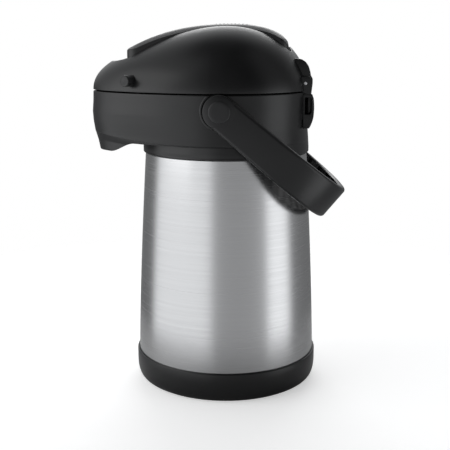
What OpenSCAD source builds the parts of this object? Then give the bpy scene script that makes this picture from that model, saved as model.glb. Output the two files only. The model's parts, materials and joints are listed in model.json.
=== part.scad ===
// Pump airpot: a steel jug round a vacuum flask, with a black pump head, a spout nose, a hinged
// dome lid with a press panel on top, two lid release buttons and a swinging bail handle.
// Millimetres. The resting face of the foot is z = 0, on the flask's axis.
// The spout points along -Y and the lid's hinge is at the rear, along +Y.

/* [Body] */
// Radius of the steel jug where it meets the base
body_r = 85; // [80:0.5:102]
// How much narrower the steel jug is at its top
body_taper = 9.5; // [6:0.5:12]
// Height of the joint between the base cup and the steel
base_h = 27.5; // [24:0.5:34]
// Height of the head's lower edge
head_z = 220; // [200:1:264]
// Thickness of the steel sheet
steel_wall = 0.8; // [0.5:0.1:1.2]
// How far the base cup stands out past the steel
base_lip = 2; // [1:0.5:3]

/* [Head] */
// Height of the collar, from its lower edge to the lid's seam
collar_h = 57.5; // [54:0.5:69]
// Height of the dome above the seam
dome_h = 61; // [58:0.5:72]
// How far the spout nose stands out past the round collar
nose_len = 46; // [40:1:55]
// Half angle over which the nose runs back into the round collar
nose_spread = 33.9; // [31:0.1:37]
// Wall of the black mouldings
wall = 3; // [2.5:0.1:3.6]
// Open joint between the collar and the lid
seam_gap = 1; // [0.4:0.1:1.2]

/* [Flask] */
// Outer radius of the glass flask
flask_r = 69; // [58:1:71]
// Outer radius of the flask's neck
neck_r = 34; // [32:0.5:37]
// Thickness of each glass wall
glass_wall = 2; // [1.6:0.1:2.4]
// Vacuum gap between the two glass walls
vacuum_gap = 3; // [2:0.5:4]
// Outer radius of the riser tube
riser_r = 5; // [4:0.5:6]

/* [Pump] */
// Width of the press panel
panel_w = 54; // [45:1:62]
// Length of the press panel, from its front lip to its rear end
panel_len = 147.5; // [140:0.5:150]
// Side clearance of the panel in its slot
panel_gap = 0.8; // [0.5:0.1:1.5]
// Radius of the panel's pin
panel_pin_r = 2; // [1.6:0.1:2.4]
// Outer radius of the bellows
bellows_r = 40; // [34:1:42]
// Radius of the pusher's stem
stem_r = 6; // [5:0.5:7]

/* [Hinge and handle] */
// Radius of the lid's hinge pin
hinge_pin_r = 3; // [2.4:0.1:3.6]
// Half width of the hinge
hinge_half_w = 34; // [30:0.5:38]
// How much further than the collar's radius the bail reaches from its pivot
bail_past = 63; // [52:1:76]
// Width of the grip's band
bail_w = 34; // [28:1:40]
// Thickness of the bail
bail_t = 7.5; // [6:0.5:9]
// Radius of the pivot studs
stud_r = 5; // [4:0.2:6]
// Radius of the release buttons
button_r = 5; // [4:0.2:6]

/* [Hidden] */
$fn = 96;

black = [0.06, 0.06, 0.065];
soft_black = [0.1, 0.1, 0.105];
steel = [0.72, 0.72, 0.73];
rubber_grey = [0.2, 0.2, 0.21];
clear_white = [0.86, 0.87, 0.88];

// clearances: fit is a moulded slip fit, run is a shaft in its bore, air keeps moving parts apart
fit = 0.1;
run = 0.06;
air = 0.4;
over = 1;
// reach of a cut that runs right through
far = 400;
// screws
screw_bore_r = 1.7;
screw_head_r = 3.2;

// heights
steel_z0 = base_h - 6;
steel_z1 = head_z + 7;
seam_z = head_z + collar_h;
flask_z0 = 20;
flask_z1 = steel_z1 + 1;
gasket_h = 2;
ring_z = flask_z1 + gasket_h;
ring_h = 3;
flange_h = 2.5;
stop_z = ring_z + ring_h;
cup_z = seam_z - 17;
rim_z = cup_z - 2.5;
plate_z = seam_z + 2;
plate_h = 2.5;

// radii of the head, from the jug's top
steel_top_r = body_r - body_taper;
skirt_r = steel_top_r + 0.5;
head_r = skirt_r + wall - 1;
drum_in_r = head_r - wall;
waist = 1.4;
nose_sink = 2;
tip_turn = 4;

// places of the moving parts
hinge_y = head_r - 6.7;
hinge_z = seam_z + 7.5;
lug_w = 4.5;
lug_r = 6.5;
panel_y0 = -90;
panel_top_z = seam_z + dome_h - 1.1;
panel_crest_y = 5;
panel_front_drop = 22.3;
panel_rear_drop = 21;
panel_depth = 12;
panel_skin = 2.5;
panel_pin_y = panel_y0 + panel_len - 8.5;
panel_pin_z = panel_top_z - 23.4;
pivot_y = -6;
pivot_z = seam_z - 14;
hub_r = 14.5;
hub_x0 = head_r + 3.3;
bail_x1 = hub_x0 + 8.2;
bail_tilt = 40;
bail_reach = head_r + bail_past;
crescent_r = 17.2;
button_turn = 30;
button_dir = 55;
button_out = 9;
button_travel = 4;
spout_y = -(head_r + nose_len - 13);
duct_z = head_z + 29;
duct_r = 7;
duct_bore_r = 5;

// ---- shared functions -------------------------------------------------------------------

// share of the nose left at an angle a from the spout direction
function nose_share(a, spread) = exp(-pow((sqrt(a * a + tip_turn * tip_turn) - tip_turn) / spread, 1.25));
// a point at radius r and angle a from the spout direction
function polar(r, a, z) = [r * sin(a), -r * cos(a), z];
// n angles round the head, closer together at the nose
function angles(n) = [for (i = [0:n - 1]) let (t = 2 * i / n - 1) 90 * (t + pow(t, 3))];
// outline of the head at the seam
function seam_r(a) = max(head_r, head_r - nose_sink + (nose_len + nose_sink) * nose_share(a, nose_spread));
// height share of the dome at a share q of the outline's radius
function rear_dome(q) = pow(1 - pow(q, 2.5), 0.62);
function front_dome(q) = 0.42 * sqrt(1 - pow(q, 9)) + 0.58 * pow(1 - pow(q, 2.2), 1.8);
function dome_share(q, a) = let (b = nose_share(a, nose_spread)) b * front_dome(q) + (1 - b) * rear_dome(q);
// height of the panel's top at a place y
function panel_z(y) = y < panel_crest_y
    ? panel_top_z - panel_front_drop * pow((panel_crest_y - y) / (panel_crest_y - panel_y0), 2.4)
    : panel_top_z - panel_rear_drop
        * (1 - sqrt(1 - pow((y - panel_crest_y) / (panel_y0 + panel_len - panel_crest_y), 2.4)));

// closed solid through rings of equally many points, with a flat cap at both ends
module loft(rings) {
    n = len(rings[0]);
    last = len(rings) - 1;
    pts = [for (ring = rings) for (p = ring) p];
    sides = [for (k = [0:last - 1]) for (i = [0:n - 1]) let (j = (i + 1) % n, a = k * n, b = a + n)
        for (f = [[a + i, b + i, b + j], [a + i, b + j, a + j]]) f];
    caps = [[for (i = [0:n - 1]) i], [for (i = [n - 1:-1:0]) last * n + i]];
    polyhedron(points = pts, faces = concat(sides, caps), convexity = 6);
}

// rectangle with round corners, from exact circles
module round_rect(w, l, r) {
    square([w - 2 * r, l], center = true);
    square([w, l - 2 * r], center = true);
    for (x = [-1, 1], y = [-1, 1])
        translate([x * (w / 2 - r), y * (l / 2 - r)]) circle(r);
}

module tube(r, bore, h) {
    difference() {
        cylinder(r = r, h = h);
        translate([0, 0, -over]) cylinder(r = bore, h = h + 2 * over);
    }
}

// the same piece on both sides
module both_sides() {
    children();
    mirror([1, 0, 0]) children();
}

// screws with a pan head, standing with the head's underside at z = 0
module pan_screw(l) {
    translate([0, 0, -l]) cylinder(r = screw_bore_r, h = l + 0.5, $fn = 32);
    cylinder(r = screw_head_r, h = 2, $fn = 32);
}

// wire wound round the z axis
module coil(r, wire_r, h, turns) {
    steps = 14;
    sides = 6;
    rings = [for (i = [0:turns * steps]) let (a = 360 * i / steps, z = h * i / (turns * steps))
        [for (k = [0:sides - 1]) let (b = 360 * k / sides, q = r + wire_r * cos(b))
            [q * cos(a), q * sin(a), z + wire_r * sin(b)]]];
    loft(rings);
}

// ---- base -------------------------------------------------------------------------------

base_r = body_r + base_lip;
foot_in_r = base_r - 16;
foot_out_r = base_r - 8;
foot_h = 1.2;
plug_r = 32;
floor_z = 6;
floor_h = 3;

module base_cup() {
    round_r = 14;
    color(black) difference() {
        rotate_extrude() polygon(concat(
            [[plug_r + fit, floor_z], [plug_r + fit, floor_z + floor_h], [body_r - 4, floor_z + floor_h],
                [body_r - 4, steel_z0], [body_r + fit, steel_z0], [body_r + fit, base_h],
                [base_r - 1, base_h + 0.8], [base_r - 0.3, base_h]],
            [for (t = [0:15:90]) [base_r - 7 + 7 * cos(t), round_r + 0.8 - round_r * sin(t)]],
            [[foot_in_r - 4, 0.8], [foot_in_r - 4, floor_z]]));
        translate([0, 0, -over]) tube(foot_out_r + fit, foot_in_r - fit, over + foot_h + 1.5);
    }
}

module foot_ring() {
    color(rubber_grey) tube(foot_out_r, foot_in_r, foot_h + 1.3);
}

module base_plug() {
    color(black) difference() {
        union() {
            translate([0, 0, floor_z - 3]) cylinder(r = plug_r, h = 8);
            translate([0, 0, floor_z - 3]) cylinder(r = plug_r + 4, h = 3 - fit);
        }
        for (turn = [0, 90]) rotate([0, 0, turn])
            translate([-plug_r * 0.8, 3, floor_z - 4]) cube([plug_r * 1.6, plug_r * 0.5, 5]);
        translate([0, 0, floor_z + 3]) cylinder(r = plug_r - 6, h = 5);
    }
}

// its top follows the bottom of the flask
module flask_cushion() {
    out_r = plug_r - 6 - fit;
    seat = [for (p = bottle_bottom(0)) if (p[0] > 6 && p[0] < out_r) p];
    color(rubber_grey) rotate_extrude() polygon(concat(
        [[6, floor_z + 3], [out_r, floor_z + 3], [out_r, seat[len(seat) - 1][1]]],
        [for (i = [len(seat) - 1:-1:0]) seat[i]], [[6, flask_z0]]));
}

// ---- jug --------------------------------------------------------------------------------

function jug_r(z) = body_r - body_taper * pow(max(0, z - base_h) / (steel_z1 - base_h), 1.35);

module steel_body() {
    levels = concat([steel_z0], [for (i = [0:10]) base_h + (steel_z1 - base_h) * i / 10]);
    color(steel) rotate_extrude() polygon(concat(
        [for (z = levels) [jug_r(z), z]],
        [for (i = [len(levels) - 1:-1:0]) [jug_r(levels[i]) - steel_wall, levels[i]]]));
}

flask_dome = 38;

// half section of a bottle: domed bottom, straight side, shoulder and neck; d is the inset
function bottle_bottom(d) = [for (t = [0:9:90])
    [(flask_r - d) * sin(t), flask_z0 + d + (flask_dome - d) * (1 - cos(t))]];
function bottle(d) = let (n = neck_r - d, h = 34) concat(
    bottle_bottom(d),
    [for (t = [0:15:90]) [n + (flask_r - neck_r) * cos(t), flask_z1 - 14 - h - d + h * sin(t)]]);

module glass_flask() {
    lip = 2 * glass_wall + vacuum_gap;
    inset = glass_wall + vacuum_gap;
    outer = bottle(0);
    inner = bottle(lip);
    gap_out = bottle(glass_wall);
    gap_in = bottle(inset);
    neck_top = flask_z1 - 3;
    color(clear_white) difference() {
        rotate_extrude() polygon(concat(outer, [[neck_r, flask_z1], [neck_r - lip, flask_z1]],
            [for (i = [len(inner) - 1:-1:0]) inner[i]]));
        rotate_extrude() polygon(concat(gap_out, [[neck_r - glass_wall, neck_top], [neck_r - inset, neck_top]],
            [for (i = [len(gap_in) - 1:-1:0]) gap_in[i]]));
    }
}

module mouth_gasket() {
    color(rubber_grey) translate([0, 0, flask_z1])
        tube(neck_r + 2, neck_r - 2 * glass_wall - vacuum_gap + 0.5, gasket_h);
}

plug_in_r = neck_r - 2 * glass_wall - vacuum_gap;
screw_r = drum_in_r - 5;

module inner_ring() {
    color(black) difference() {
        union() {
            translate([0, 0, ring_z]) tube(drum_in_r - fit, plug_in_r + 0.5, ring_h);
            translate([0, 0, steel_z1]) tube(drum_in_r - fit, drum_in_r - 9, ring_z - steel_z1 + 1);
            translate([0, 0, flask_z1 - 6]) tube(neck_r + 4.5, neck_r + 2 + fit, ring_z - flask_z1 + 7);
        }
        screw_places(stop_z + over) cylinder(r = screw_bore_r, h = 20, center = true, $fn = 32);
    }
}

module screw_places(z) {
    for (turn = [45:90:315]) rotate([0, 0, turn]) translate([screw_r, 0, z]) children();
}

module collar_screws() {
    color(steel) screw_places(stop_z + flange_h) pan_screw(8);
}

// ---- collar with the spout nose ---------------------------------------------------------

ring_points = 80;
crease_z = head_z + 12.3;
crease_rise = 7.7;
tip_z = head_z + 1.6;
nose_floor_z = head_z + 19;

// one ring of the nose; grow is added at the tip, and spread narrows it
function nose_ring(z, grow, spread) = [for (a = angles(ring_points))
    polar(head_r - nose_sink + (nose_len + nose_sink + grow) * nose_share(a, spread), a, z)];
function crease_ring(drop, grow, spread) = [for (a = angles(ring_points))
    polar(head_r - nose_sink + (nose_len + nose_sink + grow) * nose_share(a, spread), a,
        crease_z + crease_rise * nose_share(a, nose_spread) - drop)];

module nose_outside() {
    top = seam_z - seam_gap / 2;
    loft([
        nose_ring(tip_z, -6.5, nose_spread * 0.66),
        nose_ring(tip_z + 1.5, -5, nose_spread * 0.7),
        crease_ring(7, -3.2, nose_spread * 0.78),
        crease_ring(1.5, -2.2, nose_spread * 0.93),
        crease_ring(0, -1.6, nose_spread),
        nose_ring(top - 33, -0.5, nose_spread),
        nose_ring(top - 27, 0.6, nose_spread),
        nose_ring(top - 19, 1.1, nose_spread),
        nose_ring(top - 9, 0.3, nose_spread),
        nose_ring(top, 0, nose_spread)
    ]);
}

module nose_inside() {
    sink = nose_sink + wall + 1;
    function hollow_ring(z, grow) = [for (a = angles(ring_points))
        polar(head_r - sink + (nose_len - wall + sink + grow) * nose_share(a, nose_spread), a, z)];
    loft([
        hollow_ring(nose_floor_z, -2),
        hollow_ring(seam_z - 20, 1),
        hollow_ring(seam_z + over, 0)
    ]);
}

module along_x(x, y, z, r, l, n = 64) {
    translate([x, y, z]) rotate([0, 90, 0]) cylinder(r = r, h = l, $fn = n);
}

// underside of the nose behind the tip, as distance from the drum and height above the tip
under_nose = [[nose_len + over, 0], [37.5, 0], [30, 0.8], [22.8, 2.8], [17.5, 4.9], [15, 6.9], [12.5, 8.7], [9.5, 10],
    [5.6, 10.6], [-head_r, 10.6]];

module collar() {
    top = seam_z - seam_gap / 2;
    boss_x = drum_in_r + 1;
    color(black) difference() {
        union() {
            rotate_extrude() polygon([[drum_in_r - 9, stop_z], [drum_in_r - 9, stop_z + flange_h],
                [drum_in_r, stop_z + flange_h], [drum_in_r, top], [head_r, top],
                [head_r - waist * 0.3, top - 15], [head_r - waist, head_z + 25],
                [head_r - waist * 0.6, head_z + 14], [head_r, head_z + 5], [head_r - 0.5, head_z],
                [skirt_r, head_z], [skirt_r, steel_z1 + 0.5], [drum_in_r, steel_z1 + 0.5],
                [drum_in_r, stop_z]]);
            difference() {
                nose_outside();
                // the nose starts in the drum's wall and ends short of the pivots' plane
                cylinder(r = skirt_r + 0.7, h = far);
                translate([-far / 2, 1, 0]) cube([far, far, far]);
                translate([-far / 2, 0, 0]) rotate([90, 0, 90]) linear_extrude(far) polygon(concat(
                    [[-head_r - nose_len - over, 0]], [for (p = under_nose) [-head_r - p[0], tip_z + p[1]]], [[0, 0]]));
            }
            both_sides() {
                along_x(boss_x, pivot_y, pivot_z, hub_r - 1, hub_x0 - air - boss_x);
                difference() {
                    along_x(boss_x, pivot_y, pivot_z, crescent_r, hub_x0 - air - boss_x);
                    translate([0, pivot_y - 6, 0]) cube([far, far, far]);
                    translate([0, -far / 2, top]) cube([far, far, far]);
                }
            }
        }
        nose_inside();
        translate([0, spout_y, head_z - over]) cylinder(r = duct_r + fit, h = 40);
        both_sides() along_x(drum_in_r - 5, pivot_y, pivot_z, stud_r, far);
        along_x(-hinge_half_w - 1, hinge_y, hinge_z, 11, 2 * hinge_half_w + 2);
        screw_places(stop_z + flange_h) cylinder(r = screw_bore_r, h = 20, center = true, $fn = 32);
        bracket_screw_places() cylinder(r = screw_bore_r, h = 20, center = true, $fn = 32);
    }
}

// ---- rear hinge -------------------------------------------------------------------------

bracket_out = 4;
bracket_z0 = seam_z - 33;
bracket_z1 = seam_z - 2;

module bracket_screw_places() {
    for (x = [-1, 1], z = [12, 22])
        translate([x * 14, head_r, bracket_z0 + z]) rotate([90, 0, 0]) children();
}

module hinge_bracket() {
    inside_x = hinge_half_w - lug_w;
    rear = head_r + bracket_out;
    root = head_r - 18;
    window_y = head_r - 5.5;
    color(black) difference() {
        union() {
            translate([-hinge_half_w, 0, 0]) rotate([90, 0, 90])
                linear_extrude(2 * hinge_half_w) polygon([[root, bracket_z0], [rear - 4.5, bracket_z0],
                    [rear - 2, bracket_z0 + 5], [rear - 0.4, bracket_z0 + 11], [rear, bracket_z0 + 18],
                    [rear - 0.6, bracket_z0 + 27], [rear - 2, bracket_z1], [root, bracket_z1]]);
            both_sides() {
                along_x(inside_x, hinge_y, hinge_z, lug_r, lug_w);
                translate([inside_x, root, bracket_z1 - 2]) cube([lug_w, rear - 3 - root, hinge_z - bracket_z1 + 2]);
            }
        }
        translate([0, 0, bracket_z0 - over]) cylinder(r = head_r, h = seam_z - bracket_z0 + over);
        translate([-over - hinge_half_w, hinge_y - lug_r - 20, seam_z - over])
            cube([2 * hinge_half_w + 2 * over, 20, 30]);
        both_sides() {
            translate([hinge_half_w - 4, window_y, bracket_z0 + 14]) cube([10, 5.5, 15]);
            along_x(0, hinge_y, hinge_z, hinge_pin_r, far);
        }
        along_x(-inside_x, hinge_y, hinge_z, 11, 2 * inside_x);
        bracket_screw_places() cylinder(r = screw_bore_r, h = 4, center = true, $fn = 32);
    }
}

module bracket_screws() {
    color(steel) bracket_screw_places() translate([0, 0, 3.4 + wall]) pan_screw(6);
}

module hinge_pin() {
    color(steel) along_x(-hinge_half_w - 0.6, hinge_y, hinge_z, hinge_pin_r, 2 * hinge_half_w + 1.2);
}

// ---- liquid path ------------------------------------------------------------------------

stopper_rim_r = 33;

module stopper() {
    color(clear_white) difference() {
        union() {
            translate([0, 0, stop_z - 20]) cylinder(r = plug_in_r - 1.5, h = 20 + fit);
            translate([0, 0, stop_z]) cylinder(r = neck_r + 4, h = 2.5);
            translate([0, 0, stop_z]) cylinder(r = stopper_rim_r, h = rim_z - stop_z);
        }
        translate([0, 0, stop_z + 4]) cylinder(r = stopper_rim_r - 3, h = 40);
        translate([0, 0, stop_z - 30]) cylinder(r = riser_r, h = far, $fn = 48);
        for (turn = [45:90:315]) rotate([0, 0, turn])
            translate([plug_in_r - 10, 0, stop_z - 30]) cylinder(r = 3, h = far, $fn = 32);
        rotate([90, 0, 0]) translate([0, duct_z, 0]) cylinder(r = duct_r, h = far, $fn = 48);
        translate([0, 0, stop_z - 12]) rotate_extrude() translate([plug_in_r - 1.5, 0]) circle(1.5, $fn = 32);
    }
}

module stopper_seal() {
    color(rubber_grey) translate([0, 0, stop_z - 12]) rotate_extrude()
        translate([plug_in_r - 1.5, 0]) circle(1.5 - 0.02, $fn = 32);
}

module riser_tube() {
    z0 = flask_z0 + glass_wall + vacuum_gap + glass_wall + 6;
    color(clear_white) difference() {
        translate([0, 0, z0]) cylinder(r = riser_r, h = duct_z - duct_r - z0, $fn = 48);
        translate([0, 0, z0 - over]) cylinder(r = riser_r - 1.2, h = far, $fn = 48);
        translate([0, 0, z0]) rotate([90, 0, 0]) cylinder(r = 2.5, h = 20, center = true, $fn = 32);
    }
}

module safety_ball() {
    color(steel) translate([0, 0, duct_z]) sphere(r = duct_bore_r - 1, $fn = 48);
}

// a level tube from the riser to the nose, with a bend down into the nozzle
module spout_duct() {
    bend = 10;
    color(clear_white) difference() {
        union() {
            translate([0, 0, duct_z]) sphere(r = duct_r, $fn = 48);
            rotate([90, 0, 0]) translate([0, duct_z, 0]) cylinder(r = duct_r, h = -spout_y - bend, $fn = 48);
            elbow(duct_r, bend);
        }
        translate([0, 0, duct_z]) sphere(r = duct_bore_r, $fn = 48);
        translate([0, 0, duct_z - 20]) cylinder(r = riser_r - 1.2, h = 20, $fn = 48);
        rotate([90, 0, 0]) translate([0, duct_z, 0]) cylinder(r = duct_bore_r, h = -spout_y - bend, $fn = 48);
        elbow(duct_bore_r, bend);
    }
}

module elbow(r, bend) {
    translate([0, spout_y + bend, duct_z - bend]) rotate([90, 0, -90])
        rotate_extrude(angle = 90, $fn = 48) translate([bend, 0]) circle(r, $fn = 48);
}

module spout_nozzle() {
    color(black) translate([0, spout_y, tip_z + 1]) difference() {
        cylinder(r = duct_r, h = duct_z - 10 - tip_z - 1, $fn = 48);
        translate([0, 0, -over]) cylinder(r = duct_bore_r, h = 40, $fn = 48);
    }
}

// ---- lid --------------------------------------------------------------------------------

dome_z = seam_z + seam_gap / 2;
slot_l = panel_len + 2 * panel_gap + 1.2;
slot_y = panel_y0 + panel_len / 2 - 0.2;
scoop_r = 34;
scoop_y = panel_y0 + 7;
scoop_z = seam_z + 52;
ear_x = hinge_half_w - lug_w - air;

// rings of the dome from its edge to its crown; inset moves it inwards
function dome_rings(steps, inset) = [for (k = [0:steps]) let (q = 1 - 0.985 * pow(k / steps, 2.2))
    [for (a = angles(ring_points))
        polar(q * (seam_r(a) - inset), a, dome_z + (dome_h - seam_gap / 2 - inset) * dome_share(q, a))]];

module dome_outside() {
    loft(dome_rings(13, 0));
}

module dome_inside() {
    rings = dome_rings(9, wall);
    loft(concat([[for (p = rings[0]) [p[0], p[1], dome_z - over]]], [for (k = [1:9]) rings[k]]));
}

module slot_outline(grow) {
    translate([0, slot_y])
        round_rect(panel_w + 2 * panel_gap + 2 * grow, slot_l + 2 * grow, 9 + grow);
}

// walls of the panel's slot, deeper at the front where the panel sinks further
module slot_block() {
    intersection() {
        linear_extrude(far) slot_outline(2);
        translate([-far / 2, 0, 0]) rotate([90, 0, 90]) linear_extrude(far)
            polygon([[-far, seam_z + 5], [-84, seam_z + 5], [-bellows_r - 6, seam_z + 31],
                [bellows_r, panel_pin_z - 5], [far, panel_pin_z - 5], [far, far], [-far, far]]);
    }
}

module button_axis(side) {
    base = seam_r(button_turn) * 0.98;
    translate([side * base * sin(button_turn), -base * cos(button_turn), seam_z + 10.5])
        rotate([0, 0, side > 0 ? button_dir - 90 : 270 - button_dir]) rotate([0, 90, 0]) children();
}

module lid_bosses(r, z, h) {
    for (turn = [40, 140, 220, 320]) rotate([0, 0, turn])
        translate([drum_in_r - 13, 0, z]) cylinder(r = r, h = h, $fn = 48);
}

module ear_shape() {
    polygon([[hinge_y - 14, hinge_z - 4], [hinge_y - 6, hinge_z - 6.5], [hinge_y + 4, hinge_z - 6.5],
        [hinge_y + 7.5, hinge_z - 3], [hinge_y + 9.2, hinge_z - 1], [hinge_y + 9.2, hinge_z + 4],
        [hinge_y + 6.8, hinge_z + 7], [hinge_y + 4, hinge_z + 15], [hinge_y + 1, hinge_z + 18.5],
        [hinge_y - 3, hinge_z + 20.8], [hinge_y - 9, hinge_z + 21.5], [hinge_y - 14, hinge_z + 18]]);
}

module lid_shell() {
    color(black) difference() {
        union() {
            difference() {
                dome_outside();
                difference() {
                    dome_inside();
                    slot_block();
                    translate([0, scoop_y, scoop_z]) sphere(r = scoop_r + 2.5);
                    lid_bosses(4.5, plate_z + plate_h, far);
                    for (side = [-1, 1]) button_axis(side) translate([0, 0, -9]) cylinder(r = button_r + 3, h = 12);
                }
            }
            translate([-ear_x, 0, 0]) rotate([90, 0, 90]) linear_extrude(2 * ear_x) ear_shape();
        }
        linear_extrude(far) slot_outline(0);
        translate([0, scoop_y, scoop_z]) sphere(r = scoop_r);
        both_sides() {
            along_x(ear_x, hinge_y, hinge_z, lug_r + air, hinge_half_w + air - ear_x);
            translate([ear_x, hinge_y - lug_r - air, dome_z - over])
                cube([hinge_half_w + air - ear_x, 40, hinge_z - dome_z + over]);
        }
        along_x(-far / 2, hinge_y, hinge_z, hinge_pin_r + run, far);
        along_x(-panel_w / 2 - 4.2, panel_pin_y, panel_pin_z, panel_pin_r, panel_w + 8.4);
        for (side = [-1, 1]) button_axis(side) translate([0, 0, -20]) cylinder(r = button_r + run, h = far);
        lid_bosses(screw_bore_r, plate_z - over, 14);
    }
}

module lid_plate() {
    color(soft_black) difference() {
        union() {
            translate([0, 0, plate_z]) intersection() {
                cylinder(r = drum_in_r - wall, h = plate_h);
                translate([-far / 2, -far, 0]) cube([far, far + hinge_y - 15, plate_h]);
            }
            translate([0, 0, cup_z]) cylinder(r = bellows_r + 5.5, h = plate_z - cup_z + 1);
        }
        translate([0, 0, cup_z + 2.5]) cylinder(r = bellows_r + 3, h = far);
        translate([0, 0, cup_z - over]) cylinder(r = 12, h = far);
        lid_bosses(screw_bore_r, plate_z - over, 10);
    }
}

module lid_screws() {
    color(steel) lid_bosses(screw_head_r, plate_z - 2, 2);
    color(steel) lid_bosses(screw_bore_r, plate_z - 1, 11);
}

module lid_seal() {
    color(rubber_grey) translate([0, 0, rim_z + air])
        tube(stopper_rim_r + 0.5, stopper_rim_r - 3.5, cup_z - rim_z - air);
}

module panel_pin() {
    color(steel) along_x(-panel_w / 2 - 4, panel_pin_y, panel_pin_z, panel_pin_r, panel_w + 8, 48);
}

// ---- pump -------------------------------------------------------------------------------

bellows_z0 = cup_z + 2.5;
bellows_z1 = seam_z + 23.5;
tip_top_z = panel_top_z - 12.4;

module bellows() {
    folds = 5;
    step = (bellows_z1 - bellows_z0) / (2 * folds);
    skin = 1.2;
    function fold(d) = [for (i = [0:2 * folds]) [(i % 2 == 0 ? bellows_r - 7 : bellows_r) - d, bellows_z0 + i * step]];
    inner = fold(skin);
    color(rubber_grey) rotate_extrude() polygon(concat(fold(0),
        [for (i = [len(inner) - 1:-1:0]) inner[i]]));
}

module bellows_spring() {
    wire = 1;
    color(steel) translate([0, 0, bellows_z0 + wire]) coil(20, wire, bellows_z1 - bellows_z0 - 2 * wire - 0.2, 6);
}

module pusher() {
    color(clear_white) {
        translate([0, 0, bellows_z1]) cylinder(r = bellows_r - 2, h = 3);
        translate([0, 0, bellows_z1]) cylinder(r = stem_r, h = tip_top_z - stem_r - bellows_z1);
        translate([0, 0, tip_top_z - stem_r]) sphere(r = stem_r);
        for (turn = [0:60:300]) rotate([0, 0, turn])
            translate([0, -1, bellows_z1 + 2]) cube([bellows_r - 8, 2, 4]);
    }
}

module air_valve() {
    color(rubber_grey) translate([0, 0, bellows_z1 - 1.6]) cylinder(r = 8, h = 1.6);
}

module panel_side(depth) {
    front = [for (i = [0:12]) panel_y0 + (panel_crest_y - panel_y0) * i / 12];
    rear_len = panel_y0 + panel_len - panel_crest_y;
    rear = [for (t = [10:10:80]) panel_crest_y + rear_len * sin(t)];
    rear_end = panel_y0 + panel_len;
    ys = concat(front, rear);
    polygon(concat(
        [for (y = ys) [y, panel_z(y)]],
        [[rear_end, panel_top_z - panel_rear_drop], [rear_end, panel_pin_z - 2]],
        [for (i = [len(ys) - 1:-1:0]) if (ys[i] < panel_pin_y - 4) [ys[i], panel_z(ys[i]) - depth]]));
}

module panel_body(inset, drop) {
    intersection() {
        translate([-far / 2, 0, -drop]) rotate([90, 0, 90]) linear_extrude(far) panel_side(panel_depth);
        translate([0, panel_y0 + panel_len / 2, 0]) linear_extrude(far)
            round_rect(panel_w - 2 * inset, panel_len - 2 * inset, 9 - inset);
    }
}

pad_w = 30;
pad_l = 40;

module pump_panel() {
    boss_z = tip_top_z + air;
    color(black) difference() {
        union() {
            difference() {
                panel_body(0, 0);
                panel_body(panel_skin, panel_skin);
                panel_body(panel_skin, panel_depth - 2);
            }
            translate([0, 0, boss_z]) cylinder(r = 9, h = panel_top_z - panel_skin / 2 - boss_z);
            along_x(-panel_w / 2 + 1, panel_pin_y, panel_pin_z, 4.2, panel_w - 2);
        }
        along_x(-far / 2, panel_pin_y, panel_pin_z, panel_pin_r + run, far);
        pad_block();
    }
}

// block of the thumb pad, which lies in a shallow pocket on the crown of the panel
module pad_block() {
    translate([0, panel_crest_y, panel_top_z - 1.2]) linear_extrude(1.2) round_rect(pad_w, pad_l, 8);
}

module panel_pad() {
    color(soft_black) intersection() {
        pad_block();
        translate([-far / 2, 0, 0]) rotate([90, 0, 90]) linear_extrude(far) panel_side(panel_depth);
    }
}

// ---- release buttons --------------------------------------------------------------------

module button(side) {
    color(soft_black) button_axis(side) {
        translate([0, 0, -11]) cylinder(r = button_r, h = 11 + button_out - 0.6);
        translate([0, 0, 0]) cylinder(r = button_r - 0.6, h = button_out);
        translate([0, 0, -13]) cylinder(r = button_r + 2, h = 2 - fit);
        translate([button_r - 2, -3, -12.5]) cube([17, 6, 1.5]);
    }
}

module button_spring(side) {
    color(steel) button_axis(side) translate([0, 0, -20.4]) coil(3.4, 0.4, 6.8, 4);
}

// ---- handle -----------------------------------------------------------------------------

bail_bend = 55;

// half of the bail's outline; x is the half width and u the reach
function bail_arc(x, u) = [for (t = [0:5:90])
    [x * pow(cos(t), 2 / 2.4), bail_bend + (u - bail_bend) * pow(sin(t), 2 / 2.4)]];
function mirrored(pts) = [for (i = [len(pts) - 1:-1:0]) [-pts[i][0], pts[i][1]]];

module bail_plan() {
    outer = bail_arc(bail_x1, bail_reach);
    inner = bail_arc(bail_x1 - bail_t, bail_reach - bail_t);
    polygon(concat([[bail_x1, 0]], outer, mirrored(outer), [[-bail_x1, 0], [-bail_x1 + bail_t, 0]],
        [for (p = inner) [-p[0], p[1]]], [for (i = [len(inner) - 1:-1:0]) inner[i]], [[bail_x1 - bail_t, 0]]));
}

module bail_handle() {
    color(black) translate([0, pivot_y, pivot_z]) rotate([-bail_tilt, 0, 0]) difference() {
        union() {
            intersection() {
                linear_extrude(2 * bail_w, center = true) bail_plan();
                translate([-far / 2, 0, 0]) rotate([90, 0, 90]) linear_extrude(far)
                    polygon([[0, -hub_r], [bail_reach, -bail_w / 2], [bail_reach, bail_w / 2], [0, hub_r]]);
            }
            both_sides() along_x(hub_x0, 0, 0, hub_r, bail_x1 - hub_x0);
        }
        both_sides() along_x(hub_x0 - over, 0, 0, stud_r + run, far);
    }
}

module pivot_studs() {
    color(steel) both_sides() difference() {
        union() {
            along_x(drum_in_r - 4, pivot_y, pivot_z, stud_r, bail_x1 + air - drum_in_r + 4);
            along_x(drum_in_r - 4, pivot_y, pivot_z, stud_r + 3, 3);
        }
        along_x(bail_x1 - 6, pivot_y, pivot_z, 2.5, 20, 48);
    }
}

module pivot_caps() {
    color(soft_black) both_sides() {
        along_x(bail_x1 + air, pivot_y, pivot_z, 9.5, 2);
        along_x(bail_x1 - 5, pivot_y, pivot_z, 2.5, 6, 48);
    }
}

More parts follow.
